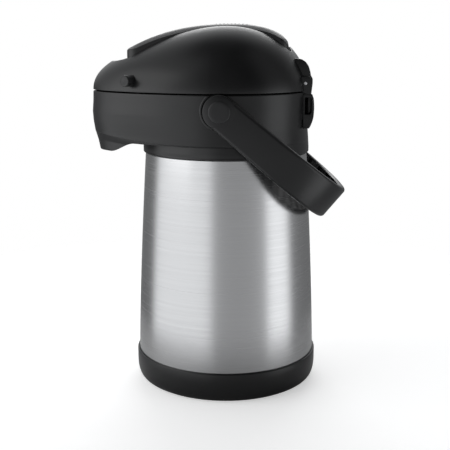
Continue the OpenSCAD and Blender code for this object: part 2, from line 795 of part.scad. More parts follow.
base_cup();
foot_ring();
base_plug();
flask_cushion();
steel_body();
glass_flask();
mouth_gasket();
inner_ring();
collar();
collar_screws();
hinge_bracket();
bracket_screws();
stopper();
stopper_seal();
riser_tube();
safety_ball();
spout_duct();
spout_nozzle();
pivot_studs();
pivot_caps();
hinge_pin();
lid_shell();
lid_plate();
lid_screws();
lid_seal();
panel_pin();
bellows();
bellows_spring();
pump_panel();
panel_pad();
pusher();
air_valve();
button(1);  // button_right
button(-1);  // button_left
button_spring(1);  // button_spring_right
button_spring(-1);  // button_spring_left
bail_handle();
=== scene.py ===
"""Looks of the pump airpot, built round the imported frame. Metres; the spout points along -Y."""

import json
import math

import bmesh
import bpy
import numpy as np
from mathutils import Matrix, Vector


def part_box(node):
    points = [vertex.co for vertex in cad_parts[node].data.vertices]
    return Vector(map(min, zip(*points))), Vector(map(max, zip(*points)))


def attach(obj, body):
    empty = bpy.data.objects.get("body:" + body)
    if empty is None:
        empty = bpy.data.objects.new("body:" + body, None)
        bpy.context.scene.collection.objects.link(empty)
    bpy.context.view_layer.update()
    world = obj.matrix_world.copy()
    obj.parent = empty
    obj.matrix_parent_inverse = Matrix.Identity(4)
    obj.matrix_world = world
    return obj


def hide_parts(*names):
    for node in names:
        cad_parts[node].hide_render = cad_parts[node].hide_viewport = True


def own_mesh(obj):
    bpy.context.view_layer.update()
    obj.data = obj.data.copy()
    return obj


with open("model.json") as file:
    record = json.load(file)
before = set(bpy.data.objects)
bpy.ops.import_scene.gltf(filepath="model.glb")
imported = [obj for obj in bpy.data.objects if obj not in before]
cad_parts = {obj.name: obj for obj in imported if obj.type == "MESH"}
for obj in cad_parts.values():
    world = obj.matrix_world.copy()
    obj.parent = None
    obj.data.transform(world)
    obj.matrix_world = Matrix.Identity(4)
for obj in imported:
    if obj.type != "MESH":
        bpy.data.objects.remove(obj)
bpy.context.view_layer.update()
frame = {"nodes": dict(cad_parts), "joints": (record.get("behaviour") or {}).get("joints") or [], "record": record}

MM = 0.001
# radius that stands for a point on the axis of a turned shape
AXIS_R = 0.01 * MM
# smallest loop at the middle of a closed panel
LEAST = 0.02 * MM
# points closer than this are one point
SAME_PLACE = 1e-6
# angles, in degrees, past which an edge stays sharp
SHARP, SHARP_WIDE, SHARP_BEVEL = 38.0, 40.0, 42.0
# a distance and a height past the object, for shapes that cut
FAR_X, FAR_Z = 200 * MM, 340 * MM
JOINTS = {joint["name"]: joint for joint in frame["joints"]}

# ---- sizes, from the frame ------------------------------------------------------------------

DOME_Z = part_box("lid_shell")[0].z
NOSE_TIP = -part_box("lid_shell")[0].y
COLLAR_Z0, COLLAR_Z1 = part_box("collar")[0].z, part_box("collar")[1].z
# how far the hinge bracket stands out from the drum
BRACKET_OUT = 4 * MM
HEAD_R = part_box("hinge_bracket")[1].y - BRACKET_OUT
NOSE_LEN = NOSE_TIP - HEAD_R
BODY_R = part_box("steel_body")[1].x
STEEL_Z0, STEEL_Z1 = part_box("steel_body")[0].z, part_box("steel_body")[1].z
BASE_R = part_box("base_cup")[1].x
BASE_Z0, BASE_Z1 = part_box("base_cup")[0].z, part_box("base_cup")[1].z
PANEL_LO, PANEL_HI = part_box("pump_panel")
PANEL_HALF_W = (PANEL_HI.x - PANEL_LO.x) / 2
HINGE = Vector(JOINTS["lid_hinge"]["pos_m"])
PIVOT = Vector(JOINTS["bail_swing"]["pos_m"])
# lugs that hold the hinge pin, and the room that turns round it
LUG_W = 4.5 * MM
LUG_X1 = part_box("hinge_bracket")[1].x
LUG_X0 = LUG_X1 - LUG_W
LUG_GAP = 0.4 * MM
LUG_CLEAR_R = 6.9 * MM
HINGE_CLEAR_R = 11 * MM
BUTTON_R = 5 * MM
BUTTON_TURN = 30.0
# bore that turns or slides on a 5 mm radius
BORE_R = 5.06 * MM
SEAM_GAP = DOME_Z - COLLAR_Z1
# how far the panel's crown lies under the dome's full height
PANEL_SINK = 1.1 * MM
DOME_H = PANEL_HI.z + PANEL_SINK - DOME_Z
WALL = 3 * MM
# the nose starts this far inside the drum, runs back over this angle, and is blunt over this angle
NOSE_SINK = 2 * MM
NOSE_SPREAD = 33.9
TIP_TURN = 4.0
# the finger scoop's sphere
SCOOP_R = 34 * MM
SCOOP_AT = Vector((0, PANEL_LO.y + 7 * MM, COLLAR_Z1 + SEAM_GAP / 2 + 52 * MM))
# the ledge under the nose, the crease along the collar's side, and the height of the nose's tip
LEDGE_RISE = 9.9 * MM
CREASE_Z = COLLAR_Z0 + 12.3 * MM
CREASE_RISE = 7.7 * MM
TIP_Z = COLLAR_Z0 + 2.3 * MM


# ---- camera, light and floor ------------------------------------------------------------------

CAMERA_AT = (842.7 * MM, -1.0 * MM, 326.9 * MM)
CAMERA_DOWN = 12.0
CAMERA_LENS = 71.264
SENSOR_W = 36.0
# light of the room in reflections, and what its curves are divided by to stay below one
ROOM_LIGHT = 0.85
CURVE_TOP = 2.0
# share of the way up over which the low room turns into the high one, and the ceiling fades
HORIZON_Z, CEILING_Z = (0.02, 0.3), (0.86, 0.97)
CEILING_LIGHT = 0.1
LAMP_POWER = 5
FLOOR_R, FLOOR_DEEP = 1400 * MM, 2 * MM
# where the floor fades out, for reflections and for the camera
FLOOR_FADE_NEAR, FLOOR_FADE_FAR = (0.12, 0.3), (0.2, 0.6)


def make_camera():
    """Camera on the +X side, at the head's height, looking a little down."""
    data = bpy.data.cameras.new("camera")
    data.sensor_width = SENSOR_W
    data.lens = CAMERA_LENS
    camera = bpy.data.objects.new("camera", data)
    camera.location = CAMERA_AT
    camera.rotation_euler = (math.radians(90.0 - CAMERA_DOWN), 0.0, math.radians(90.0))
    data.clip_start, data.clip_end = 50 * MM, 20.0
    bpy.context.scene.collection.objects.link(camera)
    bpy.context.scene.camera = camera


def area_light(name, place, target, width, height, power):
    """Soft rectangular lamp turned towards a target."""
    data = bpy.data.lights.new(name, "AREA")
    data.shape = "RECTANGLE"
    data.size, data.size_y = width, height
    data.energy = power
    lamp = bpy.data.objects.new(name, data)
    lamp.location = place
    lamp.rotation_euler = (Vector(target) - Vector(place)).to_track_quat("-Z", "Y").to_euler()
    lamp.visible_camera = False
    bpy.context.scene.collection.objects.link(lamp)


# the room by compass: degrees from +X towards the hinge, and the light seen there
ROOM_LOW = (
    (-180, 0.4), (-166, 0.35), (-158, 0.22), (-116, 0.22), (-104, 1.5), (-24, 1.5), (-14, 0.56),
    (16, 0.54), (34, 0.56), (52, 0.66), (60, 1.85), (86, 1.85), (98, 0.3), (158, 0.22), (166, 0.35),
    (180, 0.4))
ROOM_HIGH = (
    (-180, 1.1), (-150, 1.0), (-120, 0.7), (-104, 0.8), (-40, 0.75), (-22, 0.3), (-8, 0.03),
    (50, 0.03), (66, 0.35), (86, 0.35), (98, 0.1), (130, 0.5), (150, 1.0), (180, 1.1))


def compass_curve(tree, share, table):
    """Light against compass share, as a curve of straight stretches."""
    node = tree.nodes.new("ShaderNodeFloatCurve")
    tree.links.new(share, node.inputs["Value"])
    curve = node.mapping.curves[0]
    for k, (turn, light) in enumerate(table):
        place = ((turn + 180) / 360, light / CURVE_TOP)
        if k < 2:
            curve.points[k].location = place
        else:
            curve.points.new(*place)
    for point in curve.points:
        point.handle_type = "VECTOR"
    node.mapping.update()
    return node.outputs[0]


def make_world():
    """White behind the object; its reflections see a studio with pale walls and dark flags."""
    world = bpy.data.worlds.new("studio")
    world.use_nodes = True
    tree = world.node_tree
    tree.nodes.clear()
    path = tree.nodes.new("ShaderNodeLightPath")
    seen = tree.nodes.new("ShaderNodeBackground")
    seen.inputs["Color"].default_value = (1, 1, 1, 1)
    seen.inputs["Strength"].default_value = 1.0
    way = tree.nodes.new("ShaderNodeSeparateXYZ")
    tree.links.new(tree.nodes.new("ShaderNodeTexCoord").outputs["Generated"], way.inputs[0])
    compass = math_node(tree, "ARCTAN2", way.outputs["Y"], way.outputs["X"])
    share = ramp_node(tree, compass, -math.pi, math.pi, 0.0, 1.0)
    low = compass_curve(tree, share, ROOM_LOW)
    high = compass_curve(tree, share, ROOM_HIGH)
    ceiling = ramp_node(tree, way.outputs["Z"], *CEILING_Z, 1.0, CEILING_LIGHT)
    high = math_node(tree, "MULTIPLY", high, ceiling)
    rise = ramp_node(tree, way.outputs["Z"], *HORIZON_Z, 0.0, 1.0)
    blend = tree.nodes.new("ShaderNodeMix")
    tree.links.new(rise, blend.inputs["Factor"])
    tree.links.new(low, blend.inputs["A"])
    tree.links.new(high, blend.inputs["B"])
    room = tree.nodes.new("ShaderNodeBackground")
    room.inputs["Color"].default_value = (0.97, 0.985, 1.0, 1)
    light = math_node(tree, "MULTIPLY", blend.outputs["Result"], CURVE_TOP * ROOM_LIGHT)
    tree.links.new(light, room.inputs["Strength"])
    mix = tree.nodes.new("ShaderNodeMixShader")
    out = tree.nodes.new("ShaderNodeOutputWorld")
    tree.links.new(path.outputs["Is Camera Ray"], mix.inputs[0])
    tree.links.new(room.outputs[0], mix.inputs[1])
    tree.links.new(seen.outputs[0], mix.inputs[2])
    tree.links.new(mix.outputs[0], out.inputs[0])
    bpy.context.scene.world = world


def make_studio():
    """Two weak lamps, the room's light, and colours shown as they are."""
    area_light("key_left", (0.45, -1.25, 0.75), (0, 0, 0.2), 1.2, 1.2, LAMP_POWER)
    area_light("top_back", (-1.1, 0.1, 0.95), (0, 0, 0.3), 1.0, 0.5, LAMP_POWER)
    make_world()
    scene = bpy.context.scene
    scene.view_settings.view_transform = "Standard"
    scene.view_settings.look = "None"


def make_floor():
    """Pale floor that fades into the white behind it; the jug sees a dimmer one than the camera."""
    middle = 0.1 * MM
    floor = lathe("floor", [(middle, 0), (FLOOR_R, 0), (FLOOR_R, -FLOOR_DEEP), (middle, -FLOOR_DEEP)], 128)
    material = bpy.data.materials.new("floor_white")
    material.use_nodes = True
    tree = material.node_tree
    shader = tree.nodes["Principled BSDF"]
    path = tree.nodes.new("ShaderNodeLightPath")
    direct = path.outputs["Is Camera Ray"]
    color = mix_color(tree, direct, (0.66, 0.66, 0.66), (0.9, 0.9, 0.9))
    glow = mix_color(tree, direct, (0.0, 0.0, 0.0), (1.0, 1.0, 1.0))
    tree.links.new(color, shader.inputs["Base Color"])
    tree.links.new(glow, shader.inputs["Emission Color"])
    shader.inputs["Emission Strength"].default_value = 0.5
    shader.inputs["Roughness"].default_value = 0.7
    length = tree.nodes.new("ShaderNodeVectorMath")
    length.operation = "LENGTH"
    tree.links.new(tree.nodes.new("ShaderNodeTexCoord").outputs["Object"], length.inputs[0])
    cover = tree.nodes.new("ShaderNodeMix")
    tree.links.new(direct, cover.inputs["Factor"])
    for label, fade in (("A", FLOOR_FADE_NEAR), ("B", FLOOR_FADE_FAR)):
        tree.links.new(ramp_node(tree, length.outputs["Value"], *fade, 1.0, 0.0), cover.inputs[label])
    tree.links.new(cover.outputs["Result"], shader.inputs["Alpha"])
    floor.data.materials.append(material)


# ---- shared curves of the head ---------------------------------------------------------------

def nose_share(turn, spread=NOSE_SPREAD):
    """Share of the nose left at an angle, in degrees, from the spout's direction."""
    bent = np.sqrt(turn * turn + TIP_TURN * TIP_TURN) - TIP_TURN
    return np.exp(-np.power(bent / spread, 1.25))


def soft_max(a, b, blend=1.2 * MM):
    """The larger of two values, with a small blend where they meet."""
    part = np.clip(0.5 + 0.5 * (a - b) / blend, 0.0, 1.0)
    return a * part + b * (1 - part) + blend * part * (1 - part) * 0.5


def nose_r(turn, grow=0.0, spread=NOSE_SPREAD):
    """Radius of the nose at an angle; grow moves its tip outwards."""
    return HEAD_R - NOSE_SINK + (NOSE_LEN + NOSE_SINK + grow) * nose_share(turn, spread)


def seam_r(turn):
    """Radius of the seam between collar and dome: the drum's, or the nose's where that is larger."""
    return soft_max(HEAD_R * np.ones_like(turn), nose_r(turn))


def rear_dome(q):
    """Height share of the dome over the drum, from 1 in the middle to 0 at the edge."""
    return np.power(np.clip(1 - np.power(q, 2.5), 0, 1), 0.62)


def front_dome(q):
    """Height share of the dome over the nose, with a low blunt front."""
    edge = np.sqrt(np.clip(1 - np.power(q, 9), 0, 1))
    return 0.42 * edge + 0.58 * np.power(np.clip(1 - np.power(q, 2.2), 0, 1), 1.8)


def dome_share(q, turn):
    """Height share of the dome at a share of the way out to its edge."""
    b = nose_share(turn)
    return b * front_dome(q) + (1 - b) * rear_dome(q)


def turns(count):
    """Angles all round the head in degrees, closer together at the nose."""
    t = 2.0 * np.arange(count) / count - 1.0
    return 90.0 * (1.3 * t + 0.7 * t ** 3)


def ring_at(turn, radius, z):
    """Points at a radius and height for each angle."""
    a = np.radians(turn)
    return np.stack([radius * np.sin(a), -radius * np.cos(a), z + 0 * radius], axis=1)


# ---- mesh helpers ---------------------------------------------------------------------------

def link(name, mesh):
    """Object for a mesh, placed in the scene."""
    piece = bpy.data.objects.new(name, mesh)
    bpy.context.scene.collection.objects.link(piece)
    return piece


def finish_mesh(mesh, sharp=SHARP, merge=SAME_PLACE):
    """Merges doubles unless merge is 0, turns the faces outwards and keeps only real edges sharp."""
    work = bmesh.new()
    work.from_mesh(mesh)
    if merge:
        bmesh.ops.remove_doubles(work, verts=work.verts, dist=merge)
        bmesh.ops.dissolve_degenerate(work, edges=work.edges, dist=merge)
    bmesh.ops.recalc_face_normals(work, faces=work.faces)
    work.to_mesh(mesh)
    work.free()
    mesh.shade_smooth()
    mesh.set_sharp_from_angle(angle=math.radians(sharp))
    mesh.update()


def closed_grid(name, rings, loop_rings=True, sharp=SHARP, merge=SAME_PLACE):
    """Skin over rings of equally many points. loop_rings joins the last ring to the first."""
    rings = np.asarray(rings, float)
    count, size, _ = rings.shape
    verts = rings.reshape(-1, 3)
    last = count if loop_rings else count - 1
    faces = []
    for k in range(last):
        a, b = k * size, ((k + 1) % count) * size
        for i in range(size):
            j = (i + 1) % size
            faces.append((a + i, a + j, b + j, b + i))
    if not loop_rings:
        faces.append(tuple(range(size)))
        faces.append(tuple(reversed(range((count - 1) * size, count * size))))
    mesh = bpy.data.meshes.new(name)
    mesh.from_pydata(verts.tolist(), [], faces)
    finish_mesh(mesh, sharp, merge)
    return link(name, mesh)


def lathe(name, profile, steps=160, sharp=SHARP, axis=None):
    """Turns a closed outline of (radius, height) pairs round Z, or round an axis matrix."""
    angle = 2 * math.pi * np.arange(steps) / steps
    profile = np.asarray(profile, float)
    east, north = np.cos(angle), np.sin(angle)
    rings = [np.stack([r * east, r * north, z + 0 * angle], axis=1) for r, z in profile]
    piece = closed_grid(name, rings, True, sharp)
    if axis is not None:
        piece.data.transform(axis)
    return piece


def apply_modifiers(piece):
    """Swaps the piece's mesh for its evaluated one and drops the modifiers."""
    bpy.context.view_layer.update()
    graph = bpy.context.evaluated_depsgraph_get()
    mesh = bpy.data.meshes.new_from_object(piece.evaluated_get(graph))
    piece.modifiers.clear()
    piece.data = mesh
    return piece


def cut(piece, cutters, sharp=SHARP):
    """Cuts closed shapes out of a piece and removes the cutters."""
    for cutter in cutters:
        step = piece.modifiers.new("cut", "BOOLEAN")
        step.operation = "DIFFERENCE"
        step.solver = "MANIFOLD"
        step.object = cutter
    apply_modifiers(piece)
    for cutter in cutters:
        bpy.data.objects.remove(cutter)
    piece.data.shade_smooth()
    piece.data.set_sharp_from_angle(angle=math.radians(sharp))
    return piece


def bevel(piece, width, segments=3, angle=35.0):
    """Rounds the edges that are sharper than an angle."""
    step = piece.modifiers.new("bevel", "BEVEL")
    step.width = width
    step.segments = segments
    step.limit_method = "ANGLE"
    step.angle_limit = math.radians(angle)
    apply_modifiers(piece)
    piece.data.shade_smooth()
    piece.data.set_sharp_from_angle(angle=math.radians(SHARP_BEVEL))
    return piece


def prism(name, outline, axis, low, high):
    """Extrudes an outline: along "z" it holds (x, y) points, along "x" it holds (y, z) points."""
    def at(p, t):
        return (p[0], p[1], t) if axis == "z" else (t, p[0], p[1])
    size = len(outline)
    verts = [at(p, low) for p in outline] + [at(p, high) for p in outline]
    faces = [(i, (i + 1) % size, size + (i + 1) % size, size + i) for i in range(size)]
    faces += [tuple(reversed(range(size))), tuple(range(size, 2 * size))]
    mesh = bpy.data.meshes.new(name)
    mesh.from_pydata(verts, [], faces)
    finish_mesh(mesh)
    return link(name, mesh)


def block(name, y0, y1, z0, z1, x0, x1):
    """Plain block between two corners, used as a cutter."""
    return prism(name, [(y0, z0), (y1, z0), (y1, z1), (y0, z1)], "x", x0, x1)


def frame_along(direction, origin):
    """Matrix whose Z axis lies along a direction from an origin."""
    turn = Vector(direction).to_track_quat("Z", "X").to_matrix().to_4x4()
    return Matrix.Translation(origin) @ turn


def rod(name, direction, origin, radius, low, high, steps=48):
    """Closed cylinder along a direction, used as a cutter."""
    angle = 2 * math.pi * np.arange(steps) / steps
    circle = np.stack([radius * np.cos(angle), radius * np.sin(angle)], axis=1)
    rings = [np.column_stack([circle, np.full(steps, t)]) for t in (low, high)]
    piece = closed_grid(name, rings, loop_rings=False)
    piece.data.transform(frame_along(direction, origin))
    return piece


def join(name, pieces):
    """One piece from several closed shells."""
    work = bmesh.new()
    for piece in pieces:
        work.from_mesh(piece.data)
    mesh = bpy.data.meshes.new(name)
    work.to_mesh(mesh)
    work.free()
    for piece in pieces:
        bpy.data.objects.remove(piece)
    mesh.shade_smooth()
    mesh.set_sharp_from_angle(angle=math.radians(SHARP))
    return link(name, mesh)


def dress(piece, material, body, slot, *nodes):
    """Gives a piece its material and body, and hides the CAD nodes that it stands for; slot is not used."""
    piece.data.materials.clear()
    piece.data.materials.append(material)
    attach(piece, body)
    if nodes:
        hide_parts(*nodes)
    return piece


# ---- materials ------------------------------------------------------------------------------

# the span of a noise that holds most of its values
NOISE_SPAN = (0.3, 0.7)
GRAIN_DEEP, SCRATCH_DEEP = 0.1 * MM, 0.05 * MM
# how fast the scratches and the soft bands change round the jug, and the bands' rows per metre
SCRATCH_TURN, BAND_TURN, BAND_ROWS = 0.7, 0.35, 420.0


def new_group(name, inputs, outputs):
    """Empty shader group with named sockets; inputs are (name, kind, default)."""
    group = bpy.data.node_groups.new(name, "ShaderNodeTree")
    for label, kind, default in inputs:
        socket = group.interface.new_socket(label, in_out="INPUT", socket_type=kind)
        if default is not None:
            socket.default_value = default
    for label, kind in outputs:
        group.interface.new_socket(label, in_out="OUTPUT", socket_type=kind)
    return group, group.nodes.new("NodeGroupInput"), group.nodes.new("NodeGroupOutput")


def math_node(tree, operation, a, b=None):
    """Arithmetic on sockets or plain numbers."""
    node = tree.nodes.new("ShaderNodeMath")
    node.operation = operation
    for socket, value in zip(node.inputs, (a, b)):
        if value is None:
            continue
        if isinstance(value, (int, float)):
            socket.default_value = value
        else:
            tree.links.new(value, socket)
    return node.outputs[0]


def ramp_node(tree, value, low, high, to_low, to_high):
    """Maps a value from one span to another."""
    node = tree.nodes.new("ShaderNodeMapRange")
    tree.links.new(value, node.inputs["Value"])
    for label, number in (("From Min", low), ("From Max", high), ("To Min", to_low), ("To Max", to_high)):
        node.inputs[label].default_value = number
    return node.outputs["Result"]


def noise_node(tree, vector, scale, detail=3.0, roughness=0.5):
    """Noise at a place."""
    node = tree.nodes.new("ShaderNodeTexNoise")
    tree.links.new(vector, node.inputs["Vector"])
    if isinstance(scale, (int, float)):
        node.inputs["Scale"].default_value = scale
    else:
        tree.links.new(scale, node.inputs["Scale"])
    node.inputs["Detail"].default_value = detail
    node.inputs["Roughness"].default_value = roughness
    return node.outputs["Fac"]


def moulded_grain():
    """Fine spark-eroded texture of a moulding, with slow mottling."""
    group, source, sink = new_group(
        "moulded_grain",
        [("Scale", "NodeSocketFloat", 900.0)],
        [("Height", "NodeSocketFloat"), ("Mottle", "NodeSocketFloat")])
    place = group.nodes.new("ShaderNodeTexCoord").outputs["Object"]
    fine = noise_node(group, place, source.outputs["Scale"], 4.0, 0.6)
    cells = group.nodes.new("ShaderNodeTexVoronoi")
    group.links.new(place, cells.inputs["Vector"])
    group.links.new(source.outputs["Scale"], cells.inputs["Scale"])
    height = math_node(group, "ADD", fine, math_node(group, "MULTIPLY", cells.outputs["Distance"], 0.5))
    group.links.new(height, sink.inputs["Height"])
    slow = noise_node(group, place, 22.0, 4.0, 0.55)
    group.links.new(slow, sink.inputs["Mottle"])
    return group


def brushed_lines():
    """Fine scratches that run round the Z axis, with long soft bands."""
    group, source, sink = new_group(
        "brushed_lines",
        [("Lines", "NodeSocketFloat", 5200.0)],
        [("Height", "NodeSocketFloat"), ("Shade", "NodeSocketFloat")])
    place = group.nodes.new("ShaderNodeTexCoord").outputs["Object"]
    split = group.nodes.new("ShaderNodeSeparateXYZ")
    group.links.new(place, split.inputs[0])
    turn = math_node(group, "ARCTAN2", split.outputs["Y"], split.outputs["X"])
    around = (math_node(group, "COSINE", turn), math_node(group, "SINE", turn))

    def wound(turn_scale, rows):
        """Place that changes slowly round the axis and fast along it."""
        joined = group.nodes.new("ShaderNodeCombineXYZ")
        for label, value in zip(("X", "Y"), around):
            group.links.new(math_node(group, "MULTIPLY", value, turn_scale), joined.inputs[label])
        group.links.new(math_node(group, "MULTIPLY", split.outputs["Z"], rows), joined.inputs["Z"])
        return joined.outputs[0]

    fine = noise_node(group, wound(SCRATCH_TURN, source.outputs["Lines"]), 1.0, 3.0, 0.65)
    bands = noise_node(group, wound(BAND_TURN, BAND_ROWS), 1.0, 2.0, 0.5)
    group.links.new(fine, sink.inputs["Height"])
    fine_part = math_node(group, "MULTIPLY", fine, 0.65)
    band_part = math_node(group, "MULTIPLY", bands, 0.35)
    group.links.new(math_node(group, "ADD", fine_part, band_part), sink.inputs["Shade"])
    return group


def base_material(name):
    """New material with its tree and its Principled shader."""
    material = bpy.data.materials.new(name)
    material.use_nodes = True
    tree = material.node_tree
    return material, tree, tree.nodes["Principled BSDF"]


def mix_color(tree, factor, low, high):
    """Colour between two colours."""
    node = tree.nodes.new("ShaderNodeMix")
    node.data_type = "RGBA"
    tree.links.new(factor, node.inputs["Factor"])
    node.inputs["A"].default_value = (*low, 1)
    node.inputs["B"].default_value = (*high, 1)
    return node.outputs["Result"]


def bump(tree, height, strength, distance):
    """Normal from a height."""
    node = tree.nodes.new("ShaderNodeBump")
    node.inputs["Strength"].default_value = strength
    node.inputs["Distance"].default_value = distance
    tree.links.new(height, node.inputs["Height"])
    return node.outputs["Normal"]


def moulded_plastic(name, grain, dark, light, rough, scale=900.0, strength=0.25):
    """Moulded plastic or rubber: grain in the bump, mottling in colour and roughness."""
    material, tree, shader = base_material(name)
    node = tree.nodes.new("ShaderNodeGroup")
    node.node_tree = grain
    node.inputs["Scale"].default_value = scale
    mottle = node.outputs["Mottle"]
    tree.links.new(mix_color(tree, mottle, dark, light), shader.inputs["Base Color"])
    sheen = ramp_node(tree, mottle, *NOISE_SPAN, rough - 0.04, rough + 0.04)
    tree.links.new(sheen, shader.inputs["Roughness"])
    tree.links.new(bump(tree, node.outputs["Height"], strength, GRAIN_DEEP), shader.inputs["Normal"])
    shader.inputs["Specular IOR Level"].default_value = 0.42
    return material


def brushed_steel(name, lines_group, dark, light, rough, lines=5200.0):
    """Brushed steel: scratches in the bump, and their shade in colour and roughness."""
    material, tree, shader = base_material(name)
    shader.inputs["Metallic"].default_value = 1.0
    shader.inputs["Anisotropic"].default_value = 0.4
    node = tree.nodes.new("ShaderNodeGroup")
    node.node_tree = lines_group
    node.inputs["Lines"].default_value = lines
    shade = node.outputs["Shade"]
    tree.links.new(mix_color(tree, shade, dark, light), shader.inputs["Base Color"])
    sheen = ramp_node(tree, shade, *NOISE_SPAN, rough + 0.05, rough - 0.05)
    tree.links.new(sheen, shader.inputs["Roughness"])
    tree.links.new(bump(tree, node.outputs["Height"], 0.12, SCRATCH_DEEP), shader.inputs["Normal"])
    return material


def silvered_glass(name):
    """Glass with a silvered back, slightly clouded."""
    material, tree, shader = base_material(name)
    place = tree.nodes.new("ShaderNodeTexCoord").outputs["Object"]
    cloud = noise_node(tree, place, 30.0, 3.0)
    shader.inputs["Metallic"].default_value = 0.9
    silver = mix_color(tree, cloud, (0.7, 0.72, 0.74), (0.86, 0.88, 0.9))
    tree.links.new(silver, shader.inputs["Base Color"])
    tree.links.new(ramp_node(tree, cloud, *NOISE_SPAN, 0.06, 0.12), shader.inputs["Roughness"])
    shader.inputs["Coat Weight"].default_value = 1.0
    return material


GRAIN = moulded_grain()
BRUSHING = brushed_lines()
BLACK = moulded_plastic(
    "black_moulding", GRAIN, dark=(0.006, 0.006, 0.0064), light=(0.011, 0.011, 0.0115), rough=0.33)
SOFT_BLACK = moulded_plastic(
    "soft_black_moulding", GRAIN, dark=(0.01, 0.01, 0.0105), light=(0.016, 0.016, 0.017), rough=0.45,
    scale=1200.0)
NATURAL = moulded_plastic(
    "natural_moulding", GRAIN, dark=(0.74, 0.74, 0.71), light=(0.82, 0.82, 0.79), rough=0.4,
    scale=700.0, strength=0.12)
RUBBER = moulded_plastic(
    "grey_rubber", GRAIN, dark=(0.045, 0.045, 0.047), light=(0.07, 0.07, 0.072), rough=0.72,
    scale=500.0, strength=0.35)
JUG_STEEL = brushed_steel(
    "jug_steel", BRUSHING, dark=(0.48, 0.48, 0.485), light=(0.62, 0.62, 0.625), rough=0.24)
FASTENER_STEEL = brushed_steel(
    "fastener_steel", BRUSHING, dark=(0.5, 0.5, 0.51), light=(0.66, 0.66, 0.67), rough=0.28, lines=3000.0)
GLASS = silvered_glass("silvered_glass")
SLOT_MATERIALS = {
    "black_plastic": BLACK, "soft_black": SOFT_BLACK, "jug_steel": JUG_STEEL,
    "fastener_steel": FASTENER_STEEL, "grey_rubber": RUBBER, "flask_glass": GLASS,
    "natural_plastic": NATURAL,
}


def dress_cad_nodes():
    """Every CAD node gets the material of its slot."""
    slots = {entry["node"]: entry["material_slot"] for entry in frame["record"]["subparts"]}
    for name, node in frame["nodes"].items():
        node.data.materials.clear()
        node.data.materials.append(SLOT_MATERIALS[slots[name]])


# ---- geometry trees --------------------------------------------------------------------------

def new_tree(name, inputs):
    """Geometry tree with named inputs; inputs are (name, kind, default)."""
    tree = bpy.data.node_groups.new(name, "GeometryNodeTree")
    tree.interface.new_socket("Geometry", in_out="INPUT", socket_type="NodeSocketGeometry")
    for label, kind, default in inputs:
        socket = tree.interface.new_socket(label, in_out="INPUT", socket_type=kind)
        if default is not None:
            socket.default_value = default
    tree.interface.new_socket("Geometry", in_out="OUTPUT", socket_type="NodeSocketGeometry")
    return tree, tree.nodes.new("NodeGroupInput").outputs, tree.nodes.new("NodeGroupOutput")


def tree_node(tree, kind, links, **settings):
    """Adds a node; links maps its input names to other nodes' sockets or to plain values."""
    node = tree.nodes.new(kind)
    for key, value in settings.items():
        setattr(node, key, value)
    for label, value in links.items():
        if isinstance(value, bpy.types.NodeSocket):
            tree.links.new(value, node.inputs[label])
        else:
            node.inputs[label].default_value = value
    return node.outputs


def end_tree(tree, sink, geometry, material):
    """Ends a tree: real geometry with its material."""
    real = tree_node(tree, "GeometryNodeRealizeInstances", {"Geometry": geometry})
    painted = tree_node(tree, "GeometryNodeSetMaterial", {"Geometry": real[0], "Material": material})
    tree.links.new(painted[0], sink.inputs[0])
    return tree


def grow(name, tree, values, points=((0, 0, 0),), edges=()):
    """Runs a tree on a few points and keeps the result as a plain mesh."""
    start = bpy.data.meshes.new(name)
    start.from_pydata([tuple(point) for point in points], list(edges), [])
    piece = link(name, start)
    step = piece.modifiers.new("grow", "NODES")
    step.node_group = tree
    for item in tree.interface.items_tree:
        if item.in_out == "INPUT" and item.name in values:
            step[item.identifier] = values[item.name]
    apply_modifiers(piece)
    finish_mesh(piece.data, SHARP_WIDE)
    return piece


def placed_copies():
    """A copy of one object on each point, each turned by its own share of a turn."""
    tree, source, sink = new_tree("placed_copies", [
        ("Copy", "NodeSocketObject", None), ("Turn", "NodeSocketFloat", 0.0),
        ("Seed", "NodeSocketInt", 3), ("Material", "NodeSocketMaterial", None)])
    shape = tree_node(tree, "GeometryNodeObjectInfo", {"Object": source["Copy"]})
    most = tree_node(tree, "ShaderNodeCombineXYZ", {"Z": source["Turn"]})
    turn = tree_node(tree, "FunctionNodeRandomValue", {"Max": most[0], "Seed": source["Seed"]},
                     data_type="FLOAT_VECTOR")
    spin = tree_node(tree, "FunctionNodeEulerToRotation", {"Euler": turn[0]})
    copies = tree_node(tree, "GeometryNodeInstanceOnPoints", {
        "Points": source["Geometry"], "Instance": shape["Geometry"], "Rotation": spin[0]})
    return end_tree(tree, sink, copies[0], source["Material"])


def wire_coil():
    """Round wire wound into a spring that stands on its origin."""
    tree, source, sink = new_tree("wire_coil", [
        ("Radius", "NodeSocketFloat", 0.02), ("Height", "NodeSocketFloat", 0.03),
        ("Turns", "NodeSocketFloat", 6.0), ("Wire", "NodeSocketFloat", 0.001),
        ("Material", "NodeSocketMaterial", None)])
    spiral = tree_node(tree, "GeometryNodeCurveSpiral", {
        "Resolution": 40, "Rotations": source["Turns"], "Start Radius": source["Radius"],
        "End Radius": source["Radius"], "Height": source["Height"]})
    circle = tree_node(tree, "GeometryNodeCurvePrimitiveCircle", {
        "Resolution": 12, "Radius": source["Wire"]})
    tube = tree_node(tree, "GeometryNodeCurveToMesh", {
        "Curve": spiral[0], "Profile Curve": circle[0], "Fill Caps": True})
    return end_tree(tree, sink, tube[0], source["Material"])


